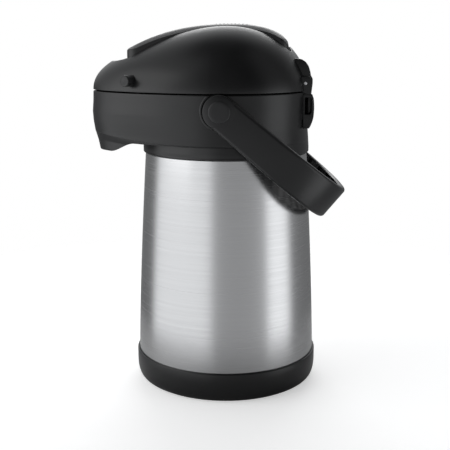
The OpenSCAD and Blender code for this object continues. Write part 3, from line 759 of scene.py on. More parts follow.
def cross_ribs():
    """Thin plates across a line, at even spacing, that widen with the distance from the line's ends."""
    tree, source, sink = new_tree("cross_ribs", [
        ("Spacing", "NodeSocketFloat", 0.015), ("Thickness", "NodeSocketFloat", 0.001),
        ("Depth", "NodeSocketFloat", 0.004), ("Reach", "NodeSocketFloat", 0.14),
        ("Near Width", "NodeSocketFloat", 0.027), ("Far Width", "NodeSocketFloat", 0.032),
        ("Material", "NodeSocketMaterial", None)])
    line = tree_node(tree, "GeometryNodeMeshToCurve", {"Mesh": source["Geometry"]})
    spots = tree_node(tree, "GeometryNodeResampleCurve", {"Curve": line[0], "Length": source["Spacing"]},
                      mode="LENGTH")
    size = tree_node(tree, "ShaderNodeCombineXYZ", {
        "X": source["Thickness"], "Y": source["Depth"], "Z": 1.0})
    plate = tree_node(tree, "GeometryNodeMeshCube", {"Size": size[0]})
    along = tree_node(tree, "GeometryNodeInputTangent", {})
    turn = tree_node(tree, "FunctionNodeAlignRotationToVector", {"Vector": along[0]}, axis="X")
    at = tree_node(tree, "GeometryNodeInputPosition", {})
    place = tree_node(tree, "ShaderNodeSeparateXYZ", {"Vector": at[0]})
    width = tree_node(tree, "ShaderNodeMapRange", {
        "Value": place["Y"], "From Min": 0.0, "From Max": source["Reach"],
        "To Min": source["Near Width"], "To Max": source["Far Width"]})
    grown = tree_node(tree, "ShaderNodeCombineXYZ", {"X": 1.0, "Y": 1.0, "Z": width["Result"]})
    ribs = tree_node(tree, "GeometryNodeInstanceOnPoints", {
        "Points": spots[0], "Instance": plate[0], "Rotation": turn[0], "Scale": grown[0]})
    return end_tree(tree, sink, ribs[0], source["Material"])


def tapered_sheet():
    """Open sheet round the Z axis whose radius falls towards its top by a power of the height."""
    tree, source, sink = new_tree("tapered_sheet", [
        ("Radius", "NodeSocketFloat", 0.085), ("Taper", "NodeSocketFloat", 0.01),
        ("Power", "NodeSocketFloat", 1.35), ("Low", "NodeSocketFloat", 0.0),
        ("Bend", "NodeSocketFloat", 0.03), ("High", "NodeSocketFloat", 0.2),
        ("Steps", "NodeSocketInt", 257), ("Rows", "NodeSocketInt", 90),
        ("Material", "NodeSocketMaterial", None)])
    grid = tree_node(tree, "GeometryNodeMeshGrid", {
        "Size X": 1.0, "Size Y": 1.0, "Vertices X": source["Steps"], "Vertices Y": source["Rows"]})
    at = tree_node(tree, "GeometryNodeInputPosition", {})
    flat = tree_node(tree, "ShaderNodeSeparateXYZ", {"Vector": at[0]})
    turn = math_node(tree, "MULTIPLY", flat["X"], 2 * math.pi)
    rise = math_node(tree, "ADD", flat["Y"], 0.5)
    height = math_node(tree, "SUBTRACT", source["High"], source["Low"])
    z = math_node(tree, "ADD", source["Low"], math_node(tree, "MULTIPLY", rise, height))
    above = math_node(tree, "MAXIMUM", math_node(tree, "SUBTRACT", z, source["Bend"]), 0.0)
    share = math_node(tree, "DIVIDE", above, math_node(tree, "SUBTRACT", source["High"], source["Bend"]))
    loss = math_node(tree, "MULTIPLY", math_node(tree, "POWER", share, source["Power"]), source["Taper"])
    radius = math_node(tree, "SUBTRACT", source["Radius"], loss)
    round_place = tree_node(tree, "ShaderNodeCombineXYZ", {
        "X": math_node(tree, "MULTIPLY", radius, math_node(tree, "COSINE", turn)),
        "Y": math_node(tree, "MULTIPLY", radius, math_node(tree, "SINE", turn)), "Z": z})
    sheet = tree_node(tree, "GeometryNodeSetPosition", {"Geometry": grid[0], "Position": round_place[0]})
    return end_tree(tree, sink, sheet[0], source["Material"])


# ---- jug and base ---------------------------------------------------------------------------

def make_jug():
    """Tapered steel jug, open at both ends, with its sheet's real thickness."""
    thickness, taper = 0.8 * MM, 9.5 * MM
    jug = grow("jug_skin", tapered_sheet(), {
        "Radius": BODY_R, "Taper": taper, "Low": STEEL_Z0, "Bend": BASE_Z1, "High": STEEL_Z1,
        "Material": JUG_STEEL})
    wall = jug.modifiers.new("wall", "SOLIDIFY")
    wall.thickness = thickness
    wall.offset = -1.0
    apply_modifiers(jug)
    finish_mesh(jug.data)
    dress(jug, JUG_STEEL, "pot", "jug_steel", "steel_body")


def arc(cx, cz, r, start, end, steps):
    """Points on an arc, angles in degrees."""
    return [(cx + r * math.cos(math.radians(t)), cz + r * math.sin(math.radians(t)))
            for t in np.linspace(start, end, steps)]


def make_base():
    """Base cup: rounded at its foot, with a groove for the foot ring and a hole for the plug."""
    lip, inner_round = 1.0 * MM, 0.7 * MM
    round_r, round_h, fullness = 9 * MM, 18 * MM, 2.6
    groove_gap, groove_w = 0.2 * MM, 9 * MM
    land_w, land_slope, floor_h, floor_t = 3.8 * MM, 0.8 * MM, 5.2 * MM, 3 * MM
    seat_w, plug_gap = 4 * MM, 0.1 * MM
    low, high, side = BASE_Z0, BASE_Z1, BASE_R
    inner = BODY_R + plug_gap
    profile = [(inner, high - lip)]
    profile += arc(inner + inner_round, high - inner_round, inner_round, 180, 90, 4)
    profile += arc(side - lip, high - lip, lip, 90, 10, 5)
    for fall in np.linspace(0, 1, 22):
        pull = 1 - (1 - fall ** fullness) ** (1 / fullness)
        profile.append((side - round_r * pull, low + round_h * (1 - fall)))
    foot_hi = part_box("foot_ring")[1]
    ring_out = foot_hi.x + groove_gap
    ring_in = ring_out - groove_w
    profile += [(ring_out, low), (ring_out, foot_hi.z), (ring_in, foot_hi.z), (ring_in, low)]
    rim = ring_in - land_w
    floor = low + floor_h
    profile += [(rim, low), (rim - land_slope, low + land_slope), (rim - land_slope, floor)]
    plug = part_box("base_plug")[1].x - seat_w + plug_gap
    profile += [(plug, floor), (plug, floor + floor_t), (BODY_R - seat_w, floor + floor_t)]
    profile += [(BODY_R - seat_w, STEEL_Z0), (inner, STEEL_Z0)]
    base = lathe("base_skin", profile, 200)
    dress(base, BLACK, "pot", "black_plastic", "base_cup")


# ---- collar ---------------------------------------------------------------------------------

HAIR = 0.0015 * MM
# how the nose narrows below the crease: at the crease, at its foot, at the tip's corner and underside
NARROW_FOOT, NARROW_CORNER, NARROW_TIP = 0.78, 0.7, 0.66
CREASE_DROP, TIP_ROUND = 7 * MM, 1.5 * MM
TIP_INSET = 6.5 * MM
FLANGE_W, FLANGE_H = 9 * MM, 2.5 * MM


def drum_r(z):
    """Radius of the collar's drum, slightly waisted above its lower edge."""
    heights = np.array([0, 1, 5, 14, 25, 42, 57.2]) * MM + COLLAR_Z0
    depth = np.array([0.7, 0.15, 0, 0.6, 1.4, 0.42, 0]) * MM
    return HEAD_R - np.interp(z, heights, depth)


def under_nose(y):
    """Height of the nose's underside: low at the tip, rising to a ledge at the drum."""
    rise_from, rise_over = 30 * MM, 26 * MM
    share = np.clip((rise_from + y + HEAD_R) / rise_over, 0, 1)
    return TIP_Z + LEDGE_RISE * share * share * (3 - 2 * share)


def lift_floor(points):
    """Keeps points of the nose above its underside."""
    points[:, 2] = np.maximum(points[:, 2], under_nose(points[:, 1]))
    return points


def drum_wall(z, rank):
    """Drum radius from the crease to the ledge; each lower ring lies a hair inside the one above."""
    return drum_r(np.maximum(z, TIP_Z + LEDGE_RISE)) - rank * HAIR


def make_collar():
    """Collar as one skin of rings: side, nose, underside, drum, inside and back up to the seam."""
    turn = turns(320)
    one = np.ones_like(turn)
    top = COLLAR_Z1
    round_r = 0.7 * MM
    share = nose_share(turn)
    crease = CREASE_Z + CREASE_RISE * share
    rings = []

    def outer(z, grow):
        return soft_max(drum_r(z), nose_r(turn, grow))

    # the side wall, from the seam down to the crease
    falls = np.array([0, 9, 19, 27, 33, 37.5]) * MM
    swell = np.array([0, 0.3, 1.1, 0.6, -0.3, -1.0]) * MM
    for inset, drop in ((1.0, 0.0), (0.3, 0.3), (0.0, 1.0)):
        rings.append(ring_at(turn, outer(top * one, 0.0) - inset * round_r, top - drop * round_r))
    for t in np.linspace(0.03, 1.0, 30):
        z = top * (1 - t) + crease * t
        grow = np.interp(top - z, falls, swell)
        rings.append(ring_at(turn, outer(z, grow), z))
    # below the crease the nose pulls in towards the tip's underside
    drops = np.array([0, 0.4, 2, 7])
    fade = np.clip((84 - np.abs(turn)) / 10, 0, 1)
    for drop in np.concatenate([[0.1, 0.4], np.linspace(0.9, 7.0, 11)]):
        step = np.interp(drop, drops, [0.0, 1.4, 1.2, 0.6]) * (1 - share ** 4)
        grow = -(1.0 + step + np.interp(drop, drops, [0.0, 0.1, 0.6, 2.0])) * MM
        narrow = np.interp(drop, drops, [1.0, 0.97, 0.93, NARROW_FOOT])
        notch = np.interp(drop, [0, 0.1, 0.4, 7], [0, 0.4, 0.9, 0]) * MM * fade
        z = crease - drop * MM
        radius = soft_max(drum_wall(z, len(rings)) - notch, nose_r(turn, grow, NOSE_SPREAD * narrow))
        rings.append(lift_floor(ring_at(turn, radius, z)))
    low = crease - CREASE_DROP
    for t in np.linspace(0.2, 1.0, 6):
        grow = -(3.2 + 1.8 * t) * MM
        z = low * (1 - t) + (TIP_Z + TIP_ROUND) * t
        narrow = NARROW_FOOT + (NARROW_CORNER - NARROW_FOOT) * t
        radius = soft_max(drum_wall(z, len(rings)), nose_r(turn, grow, NOSE_SPREAD * narrow))
        rings.append(lift_floor(ring_at(turn, radius, z)))
    tip = nose_r(turn, -TIP_INSET, NOSE_SPREAD * NARROW_TIP)
    for t in (0.35, 0.7, 1.0):
        grow = TIP_ROUND * (1 - t * t) - TIP_INSET
        z = TIP_Z + TIP_ROUND * (1 - math.sin(t * math.pi / 2))
        narrow = NARROW_CORNER + (NARROW_TIP - NARROW_CORNER) * t
        radius = soft_max(drum_wall(TIP_Z * one, len(rings)), nose_r(turn, grow, NOSE_SPREAD * narrow))
        rings.append(lift_floor(ring_at(turn, radius, z)))
    # the underside, back to the drum
    for t in np.linspace(0.04, 1.0, 26):
        wall = drum_wall(TIP_Z * one, len(rings))
        radius = np.maximum(tip, wall) * (1 - t) + wall * t
        rings.append(lift_floor(ring_at(turn, radius, TIP_Z * one)))
    # the drum's wall below the ledge, its lower edge and its inside
    ledge = under_nose(rings[-1][:, 1])
    for t in np.linspace(0.03, 1.0, 14):
        z = ledge * (1 - t) + (TIP_Z - 0.2 * MM) * t
        rings.append(ring_at(turn, drum_r(z), z))
    for drop, inset in ((0.4, 0.0), (0.9, 0.12), (1.3, 0.35), (1.6, 0.8)):
        rings.append(ring_at(turn, HEAD_R - inset * MM, (TIP_Z - drop * MM) * one))
    skirt, skirt_round = HEAD_R - 2 * MM, 0.4 * MM
    bore = HEAD_R - WALL
    steel_top = STEEL_Z1 + 0.5 * MM
    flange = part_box("inner_ring")[1].z
    inside = [(skirt + skirt_round, COLLAR_Z0), (skirt, COLLAR_Z0 + skirt_round), (skirt, steel_top),
              (bore, steel_top), (bore, flange), (bore - FLANGE_W, flange),
              (bore - FLANGE_W, flange + FLANGE_H), (bore, flange + FLANGE_H)]
    for radius, z in inside:
        rings.append(ring_at(turn, radius * one, z))
    floor = COLLAR_Z0 + 19 * MM
    sink = NOSE_SINK + WALL + 1 * MM

    def hollow(grow):
        return np.maximum(bore, HEAD_R - sink + (NOSE_LEN - WALL + sink + grow) * share)

    rings.append(ring_at(turn, bore * one, floor * one))
    for t in (0.25, 0.5, 0.75):
        rings.append(ring_at(turn, bore * (1 - t) + hollow(-2 * MM) * t, floor * one))
    for t in np.linspace(0, 1, 10):
        z = floor * (1 - t) + (top - 0.3 * MM) * t
        rings.append(ring_at(turn, hollow(np.interp(t, [0, 0.4, 1], [-2, 1, 0]) * MM), z * one))
    rings.append(ring_at(turn, hollow(0) + 0.3 * MM, top * one))
    collar = closed_grid("collar_skin", rings, True, SHARP_WIDE, merge=0.0)
    nozzle_lo, nozzle_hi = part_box("spout_nozzle")
    nozzle_r = (nozzle_hi.x - nozzle_lo.x) / 2 + 0.1 * MM
    bore_cut = rod("cut_bore", (0, 0, 1), (0, (nozzle_lo.y + nozzle_hi.y) / 2, 0), nozzle_r,
                   COLLAR_Z0 - 5 * MM, COLLAR_Z0 + 30 * MM)
    hinge_half = LUG_X1 + 1 * MM
    hinge_cut = rod("cut_hinge", (1, 0, 0), HINGE, HINGE_CLEAR_R, -hinge_half, hinge_half)
    cut(collar, [bore_cut, hinge_cut], SHARP_WIDE)
    dress(collar, BLACK, "pot", "black_plastic", "collar")


def make_pivot_bosses():
    """Boss behind each hub of the bail, with the raised crescent in front of it."""
    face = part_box("collar")[1].x
    inside = HEAD_R - 2.5 * MM
    boss_in, boss_out = 9 * MM, 13.5 * MM
    rim_in, rim_out = 14.9 * MM, 17.2 * MM
    rear_y, roof_z, below_z = PIVOT.y - 6 * MM, COLLAR_Z1 - 0.6 * MM, 200 * MM
    boss = [(boss_in, inside), (boss_out, inside), (boss_out, face - 0.5 * MM), (13 * MM, face),
            (boss_in, face)]
    rim = [(rim_in, inside), (rim_out, inside), (rim_out, face - 0.9 * MM), (16.9 * MM, face - 0.3 * MM),
           (16.3 * MM, face), (15.4 * MM, face), (rim_in, face - 0.5 * MM)]
    pieces = []
    for side in (-1, 1):
        axis = frame_along((side, 0, 0), (0, PIVOT.y, PIVOT.z))
        pieces.append(lathe("boss", boss, 96, axis=axis))
        crescent = lathe("crescent", rim, 128, axis=axis)
        behind = block("cut_rear", rear_y, PIVOT.y + 60 * MM, below_z, FAR_Z, -FAR_X, FAR_X)
        above = block("cut_roof", PIVOT.y - 30 * MM, PIVOT.y + 30 * MM, roof_z, FAR_Z, -FAR_X, FAR_X)
        pieces.append(cut(crescent, [behind, above]))
    bosses = join("pivot_bosses", pieces)
    dress(bosses, BLACK, "pot", "black_plastic")


# ---- lid ------------------------------------------------------------------------------------

# the slot that the panel moves in
SLOT_GAP = 0.8 * MM
SLOT_W = PANEL_HI.x - PANEL_LO.x + 2 * SLOT_GAP
SLOT_Y0 = PANEL_LO.y - SLOT_GAP - 0.8 * MM
SLOT_Y1 = PANEL_HI.y + SLOT_GAP + 0.4 * MM
SLOT_CORNER = 9 * MM
# the slot's inner wall, and how fast the rings crowd towards the dome's edge
SLOT_WALL = 2 * MM
CROWD = 2.2


def round_rect_reach(turn, half_w, y0, y1, corner):
    """Distance from the jug's axis to a rounded rectangle, along each angle."""
    dx, dy = np.sin(np.radians(turn)), -np.cos(np.radians(turn))
    low, high = np.zeros_like(turn), np.full_like(turn, 0.2)
    cy, hl = (y0 + y1) / 2, (y1 - y0) / 2
    for _ in range(40):
        mid = (low + high) / 2
        x = np.abs(mid * dx) - (half_w - corner)
        y = np.abs(mid * dy - cy) - (hl - corner)
        outside = np.hypot(np.maximum(x, 0), np.maximum(y, 0)) + np.minimum(np.maximum(x, y), 0) > corner
        low, high = np.where(outside, low, mid), np.where(outside, mid, high)
    return low


def scoop_cut(points, radius, blend):
    """Lowers points under the finger scoop's sphere, with a rounded rim."""
    flat = (points[:, 0] - SCOOP_AT.x) ** 2 + (points[:, 1] - SCOOP_AT.y) ** 2
    sphere = SCOOP_AT.z - np.sqrt(np.clip(radius ** 2 - flat, 0, None))
    sphere = np.where(flat < radius ** 2, sphere, 1.0)
    points[:, 2] = -soft_max(-points[:, 2], -sphere, blend)
    return points


def make_lid():
    """Dome as one skin: its edge, outside, slot wall and inside, with the buttons and lugs cut out."""
    turn = turns(400)
    one = np.ones_like(turn)
    edge = seam_r(turn)
    slot = round_rect_reach(turn, SLOT_W / 2, SLOT_Y0, SLOT_Y1, SLOT_CORNER)
    fillet = 0.8 * MM
    rings = []
    for inset, rise in ((1.0, 0.0), (0.5, 0.13), (0.15, 0.45), (0.0, 1.0)):
        rings.append(ring_at(turn, edge - inset * MM, (DOME_Z + rise * MM) * one))
    near = (slot + fillet) / edge

    def outer_point(q):
        return ring_at(turn, q * edge, DOME_Z + DOME_H * dome_share(q, turn))

    for t in np.linspace(0, 1, 56)[1:]:
        q = 1 - (1 - near) * t ** CROWD
        rings.append(scoop_cut(outer_point(q), SCOOP_R, 1.5 * MM))
    rim = rings[-1][:, 2]
    for inset, drop in ((0.55, 0.1), (0.2, 0.35), (0.0, 1.0)):
        rings.append(ring_at(turn, slot + inset * fillet, rim - drop * fillet))
    y = -slot * np.cos(np.radians(turn))
    # the slot's floor line: low under the scoop, higher over the bellows, highest at the pin
    pin_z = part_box("panel_pin")[0].z + 2 * MM
    bellows_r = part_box("bellows")[1].x
    depth = np.interp(y, [-84 * MM, -bellows_r - 6 * MM, bellows_r],
                      [COLLAR_Z1 + 5.3 * MM, COLLAR_Z1 + 31.3 * MM, pin_z - 5 * MM])
    for t in (0.2, 0.6, 1.0):
        rings.append(ring_at(turn, slot, (rim - fillet) * (1 - t) + depth * t))
    rings.append(ring_at(turn, slot + SLOT_WALL, depth))
    inner_near = (slot + SLOT_WALL) / (edge - WALL)

    def inner_point(q):
        points = ring_at(turn, q * (edge - WALL), DOME_Z + (DOME_H - WALL) * dome_share(q, turn))
        return scoop_cut(points, SCOOP_R + 2.5 * MM, 0.5 * MM)

    for t in np.linspace(1, 0, 30):
        q = 1 - (1 - inner_near) * t ** CROWD
        rings.append(inner_point(np.minimum(q, 1.0)))
    rings.append(ring_at(turn, edge - WALL, DOME_Z * one))
    lid = closed_grid("lid_skin", rings, True, SHARP_WIDE)
    cutters = []
    for side in (-1, 1):
        at, out = button_frame(side)
        cutters.append(rod("cut_button", out, at, BORE_R, -20 * MM, 40 * MM))
        low, high = sorted((side * (LUG_X0 - LUG_GAP), side * (LUG_X1 + LUG_GAP)))
        cutters.append(rod("cut_lug", (1, 0, 0), HINGE, LUG_CLEAR_R, low, high))
        y0 = HINGE.y - LUG_CLEAR_R
        cutters.append(block("cut_block", y0, y0 + 40 * MM, DOME_Z - 1 * MM, HINGE.z, low, high))
    cut(lid, cutters, SHARP_WIDE)
    dress(lid, BLACK, "lid", "black_plastic", "lid_shell")


def make_hinge_ear():
    """Ear of the dome that turns between the bracket's lugs."""
    half = LUG_X0 - LUG_GAP
    shape = [(-14, -4), (-6, -6.4), (2.5, -6.4), (5.5, -3), (7, -1), (7, 4), (5.2, 7), (4.8, 10), (3.2, 15),
             (0.6, 18.8), (-3, 21.2), (-9, 22), (-14, 18)]
    outline = [(HINGE.y + y * MM, HINGE.z + z * MM) for y, z in shape]
    ear = prism("hinge_ear", outline, "x", -half, half)
    bevel(ear, 0.9 * MM, 3, 12.0)
    dress(ear, BLACK, "lid", "black_plastic")


# ---- release buttons ------------------------------------------------------------------------

def button_frame(side):
    """Place and outward direction of a release button."""
    name = "right_button_slide" if side > 0 else "left_button_slide"
    out = -Vector(JOINTS[name]["axis"])
    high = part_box("button_right" if side > 0 else "button_left")[1].z
    base = float(seam_r(np.array([BUTTON_TURN]))[0]) * 0.98
    turn = math.radians(BUTTON_TURN)
    return Vector((side * base * math.sin(turn), -base * math.cos(turn), high - 7 * MM)), out


BAR_FACES = [(0, 1, 3, 2), (4, 6, 7, 5), (0, 4, 5, 1), (2, 3, 7, 6), (0, 2, 6, 4), (1, 5, 7, 3)]


def make_buttons():
    """Round knobs, each with a flange behind the dome's wall and a latch bar that hangs from it."""
    r, round_r = BUTTON_R, 0.9 * MM
    flange_r, flange_z, back_z = r + 2 * MM, -11 * MM, -13 * MM
    profile = [(AXIS_R, 9 * MM), (r * 0.45, 8.9 * MM), (r * 0.78, 8.6 * MM)]
    profile += arc(r - round_r, 7.9 * MM, round_r, 70, 0, 6)
    profile += [(r, 2 * MM), (r, -10.9 * MM), (flange_r, flange_z), (flange_r, back_z), (AXIS_R, back_z)]
    for side, name in ((1, "button_right"), (-1, "button_left")):
        at, out = button_frame(side)
        knob = lathe("knob", profile, 72, axis=frame_along(out, at))
        side_way = Vector((0, 0, 1)).cross(out)
        bar = []
        for depth in (-12.5, -11.0):
            for across in (-3, 3):
                for down in (-3, -20):
                    bar.append(at + out * depth * MM + side_way * across * MM + Vector((0, 0, down * MM)))
        mesh = bpy.data.meshes.new("latch")
        mesh.from_pydata([tuple(p) for p in bar], [], BAR_FACES)
        finish_mesh(mesh)
        latch = bevel(link("latch", mesh), 0.3 * MM, 2)
        piece = join(name + "_knob", [knob, latch])
        dress(piece, SOFT_BLACK, "right_button" if side > 0 else "left_button", "soft_black", name)


# ---- press panel ----------------------------------------------------------------------------

CREST_Y, FRONT_FALL, REAR_FALL, FALL_POWER = 5 * MM, 22.3 * MM, 21 * MM, 2.4
# the chamfer along the panel's sides, and its share at the two ends
CHAMFER_W, CHAMFER_H = 8 * MM, 3.6 * MM
END_SHARE = 0.2
# how far the panel's back falls from its middle line to its sides
PANEL_CROWN = 0.7 * MM
PANEL_CORNER, PANEL_SKIN, PANEL_DEEP = 9 * MM, 2.5 * MM, 12 * MM
PIN_BORE_R = 2.06 * MM


def panel_z(y):
    """Height of the panel's middle line, highest at its crest."""
    front_share = np.clip((CREST_Y - y) / (CREST_Y - PANEL_LO.y), 0, 1)
    front = PANEL_HI.z - FRONT_FALL * np.power(front_share, FALL_POWER)
    rear_share = np.clip((y - CREST_Y) / (PANEL_HI.y - CREST_Y), 0, 1)
    rear = PANEL_HI.z - REAR_FALL * (1 - np.sqrt(np.clip(1 - rear_share ** FALL_POWER, 0, 1)))
    return np.where(y < CREST_Y, front, rear)


def round_rect_loop(half_w, half_l, corner, cy, per_side=40, per_corner=10):
    """Points round a rounded rectangle, the same number whatever its size."""
    half_w, half_l, corner = max(half_w, LEAST), max(half_l, LEAST), max(corner, LEAST)
    corner = min(corner, half_w, half_l)
    centres = [(half_w - corner, half_l - corner, 0), (-half_w + corner, half_l - corner, 90),
               (-half_w + corner, -half_l + corner, 180), (half_w - corner, -half_l + corner, 270)]
    points = []
    for k, (x, y, start) in enumerate(centres):
        for t in np.linspace(0, 90, per_corner):
            a = math.radians(start + t)
            points.append((x + corner * math.cos(a), y + corner * math.sin(a)))
        nx, ny, nstart = centres[(k + 1) % 4]
        a = math.radians(nstart)
        end = (nx + corner * math.cos(a), ny + corner * math.sin(a))
        last = points[-1]
        for t in np.linspace(0, 1, per_side + 1)[1:-1]:
            points.append((last[0] + (end[0] - last[0]) * t, last[1] + (end[1] - last[1]) * t))
    loop = np.array(points)
    loop[:, 1] += cy
    return loop


def make_panel():
    """Hollow press panel with chamfered sides, the barrel round its pin and the boss on the pusher."""
    half_w, skin = PANEL_HALF_W, PANEL_SKIN
    half_l = (PANEL_HI.y - PANEL_LO.y) / 2
    cy = (PANEL_HI.y + PANEL_LO.y) / 2
    rings = []

    def inset_loop(d, end_share=1.0):
        return round_rect_loop(half_w - d, half_l - d * end_share, PANEL_CORNER - d, cy)

    def ring(d, lift, end_share=1.0):
        """Loop on the panel's back; its lift fades out towards the front lip."""
        loop = inset_loop(d, end_share)
        fade = np.clip((loop[:, 1] - PANEL_LO.y) / (9 * MM), 0.25, 1) if end_share < 1 else 1.0
        z = panel_z(loop[:, 1]) + lift * fade - PANEL_CROWN * (loop[:, 0] / half_w) ** 2
        return np.column_stack([loop, z])

    bottom = inset_loop(0)
    bottom_z = np.maximum(panel_z(bottom[:, 1]) - PANEL_DEEP, PANEL_LO.z)
    bottom_z = np.minimum(bottom_z, panel_z(bottom[:, 1]) - CHAMFER_H * 1.3)
    rings.append(np.column_stack([bottom, bottom_z]))
    mid = ring(0, -CHAMFER_H, END_SHARE)
    for t in (0.35, 0.7):
        rings.append(np.column_stack([bottom, bottom_z * (1 - t) + mid[:, 2] * t]))
    for inward, drop in ((0.0, 1.0), (0.03, 0.93), (0.1, 0.86), (0.3, 0.62), (0.55, 0.36), (0.8, 0.12),
                         (0.92, 0.04), (1.05, 0.0)):
        rings.append(ring(inward * CHAMFER_W, -drop * CHAMFER_H, END_SHARE))
    for d in np.concatenate([[9.5], np.linspace(11, 26.98, 9)]) * MM:
        rings.append(ring(d, 0))
    for d in np.linspace(26.98, skin / MM, 10) * MM:
        rings.append(ring(d, -skin))
    inner = inset_loop(skin)
    inner_z = np.minimum(bottom_z, panel_z(inner[:, 1]) - skin - 0.5 * MM)
    rings.append(np.column_stack([inner, inner_z]))
    panel = closed_grid("panel_skin", rings, True, SHARP_WIDE)
    pin_lo, pin_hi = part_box("panel_pin")
    pin = Vector((0, (pin_lo.y + pin_hi.y) / 2, (pin_lo.z + pin_hi.z) / 2))
    barrel_r, barrel_half = 4.2 * MM, half_w - 1 * MM
    barrel = [(PIN_BORE_R, -barrel_half), (barrel_r, -barrel_half), (barrel_r, barrel_half),
              (PIN_BORE_R, barrel_half)]
    boss_r, edge = 9 * MM, 0.6 * MM
    low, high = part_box("pusher")[1].z + 0.4 * MM, PANEL_HI.z - 1.2 * MM
    boss = [(AXIS_R, low), (boss_r - edge, low), (boss_r, low + edge), (boss_r, high), (AXIS_R, high)]
    parts = [panel, lathe("barrel", barrel, 48, axis=frame_along((1, 0, 0), pin)), lathe("boss", boss, 64)]
    whole = join("panel_cover", parts)
    dress(whole, BLACK, "panel", "black_plastic", "pump_panel")


def make_pad():
    """Soft thumb pad with a rounded edge, set into the crown of the panel."""
    lo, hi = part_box("panel_pad")
    half_w, half_l, cy = (hi.x - lo.x) / 2, (hi.y - lo.y) / 2, (hi.y + lo.y) / 2
    corner, proud = 8 * MM, 0.12 * MM
    steps = [(0.3, -1.2), (0.0, -0.9), (0.0, -0.35), (0.1, -0.15), (0.35, -0.02), (0.8, 0.0)]
    steps += [(inset, 0.0) for inset in np.linspace(1.5, 14.98, 10)]
    rings = []
    for inset, lift in steps:
        d = inset * MM
        loop = round_rect_loop(half_w - d, half_l - d, corner - d, cy)
        sag = PANEL_CROWN * (loop[:, 0] / PANEL_HALF_W) ** 2
        rings.append(np.column_stack([loop, panel_z(loop[:, 1]) - sag + lift * MM + proud]))
    pad = closed_grid("thumb_pad", rings, False, SHARP_WIDE)
    dress(pad, SOFT_BLACK, "panel", "soft_black", "panel_pad")


# ---- hinge bracket and handle ---------------------------------------------------------------

# how far the bracket's cover lies inside its solid at the rear
REAR_INSET = 2.4 * MM
LUG_R = 6.5 * MM
WINDOW_DEEP, WINDOW_Z0, WINDOW_Z1, WINDOW_CORNER = 14 * MM, 12.5 * MM, 28 * MM, 1.4 * MM


def make_bracket():
    """Cover low on the rear with a window in each side, and the two lugs of the hinge."""
    lo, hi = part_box("hinge_bracket")
    half, root_y, edge = hi.x, 60 * MM, 0.5 * MM
    rear, z0, z1 = hi.y - REAR_INSET, lo.z, COLLAR_Z1 - 1.7 * MM
    shape = [(-4.5, 0), (-3.1, 2.2), (-2, 5), (-1, 8), (-0.4, 11), (0, 18), (-0.2, 23), (-0.6, 27)]
    outline = [(root_y, z0)] + [(rear + y * MM, z0 + z * MM) for y, z in shape]
    outline += [(rear - 2 * MM, z1), (root_y, z1)]
    body = prism("bracket", outline, "x", -half, half)
    cutters = [rod("cut_drum", (0, 0, 1), (0, 0, 0), HEAD_R - 0.3 * MM, z0 - 1 * MM, z1 + 1 * MM, 256),
               rod("cut_ear", (1, 0, 0), HINGE, HINGE_CLEAR_R, -LUG_X0, LUG_X0, 96)]
    y0, y1 = HEAD_R - 7 * MM, rear - 2.2 * MM
    low, high = z0 + WINDOW_Z0, z0 + WINDOW_Z1
    window = [(y0, low), (y1 - WINDOW_CORNER, low), (y1, low + 2 * MM), (y1, high - 2 * MM),
              (y1 - WINDOW_CORNER, high), (y0, high)]
    for side in (-1, 1):
        x0, x1 = sorted((side * (half - WINDOW_DEEP), side * (half + 5 * MM)))
        cutters.append(prism("cut_window", window, "x", x0, x1))
    cut(body, cutters)
    bevel(body, edge, 3, 40.0)
    lug = arc(HINGE.y, HINGE.z, LUG_R, 0, 180, 24)
    lug += [(HINGE.y - LUG_R, COLLAR_Z1 + 0.3 * MM), (rear - 3 * MM, z1 - 1 * MM)]
    lugs = []
    for side in (-1, 1):
        x0, x1 = sorted((side * LUG_X0, side * LUG_X1))
        lugs.append(bevel(prism("lug", lug, "x", x0, x1), edge, 3, 50.0))
    piece = join("bracket_cover", [body] + lugs)
    dress(piece, BLACK, "pot", "black_plastic", "hinge_bracket")


def make_hinge_pin():
    """Steel pin whose ends are turned down where they show."""
    lo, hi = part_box("hinge_pin")
    r, half = (hi.z - lo.z) / 2, (hi.x - lo.x) / 2
    tip_r, hidden, edge = r * 0.5, 1.6 * MM, 0.3 * MM
    end = [(AXIS_R, half), (tip_r * 0.8, half), (tip_r, half - edge), (tip_r, half - hidden),
           (r, half - hidden)]
    profile = [(radius, -x) for radius, x in end] + end[::-1]
    pin = lathe("hinge_rod", profile, 48, axis=frame_along((1, 0, 0), HINGE))
    dress(pin, FASTENER_STEEL, "pot", "fastener_steel", "hinge_pin")


# the bail: reach from its pivots, start of its bend, thickness, half widths, and its fall at rest
BAIL_REACH = 141 * MM
BAIL_BEND = 55 * MM
BAIL_THICK = 7.5 * MM
BAIL_HUB_W, BAIL_GRIP_W = 14.5 * MM, 17 * MM
BAIL_TILT = math.radians(40.0)
# room between the head and the hubs
HUB_GAP = 3.3 * MM


def bail_line(mid_x, start):
    """Middle line of the bail from one hub round to the other, as (x, reach) points."""
    mid_u = BAIL_REACH - BAIL_THICK / 2
    squareness = 2.4
    power = 2 / squareness
    t = np.radians(np.linspace(0, 90, 60))
    x = np.concatenate([np.full(15, mid_x), mid_x * np.power(np.cos(t), power)])
    u = np.concatenate([np.linspace(start, BAIL_BEND, 16)[:-1],
                        BAIL_BEND + (mid_u - BAIL_BEND) * np.power(np.sin(t), power)])
    return np.stack([np.concatenate([x, -x[::-1][1:]]), np.concatenate([u, u[::-1][1:]])], axis=1)


def bail_half_w(reach):
    """Half width of the bail, which grows from its hubs to its grip."""
    return BAIL_HUB_W + (BAIL_GRIP_W - BAIL_HUB_W) * np.clip(reach / BAIL_REACH, 0, 1)


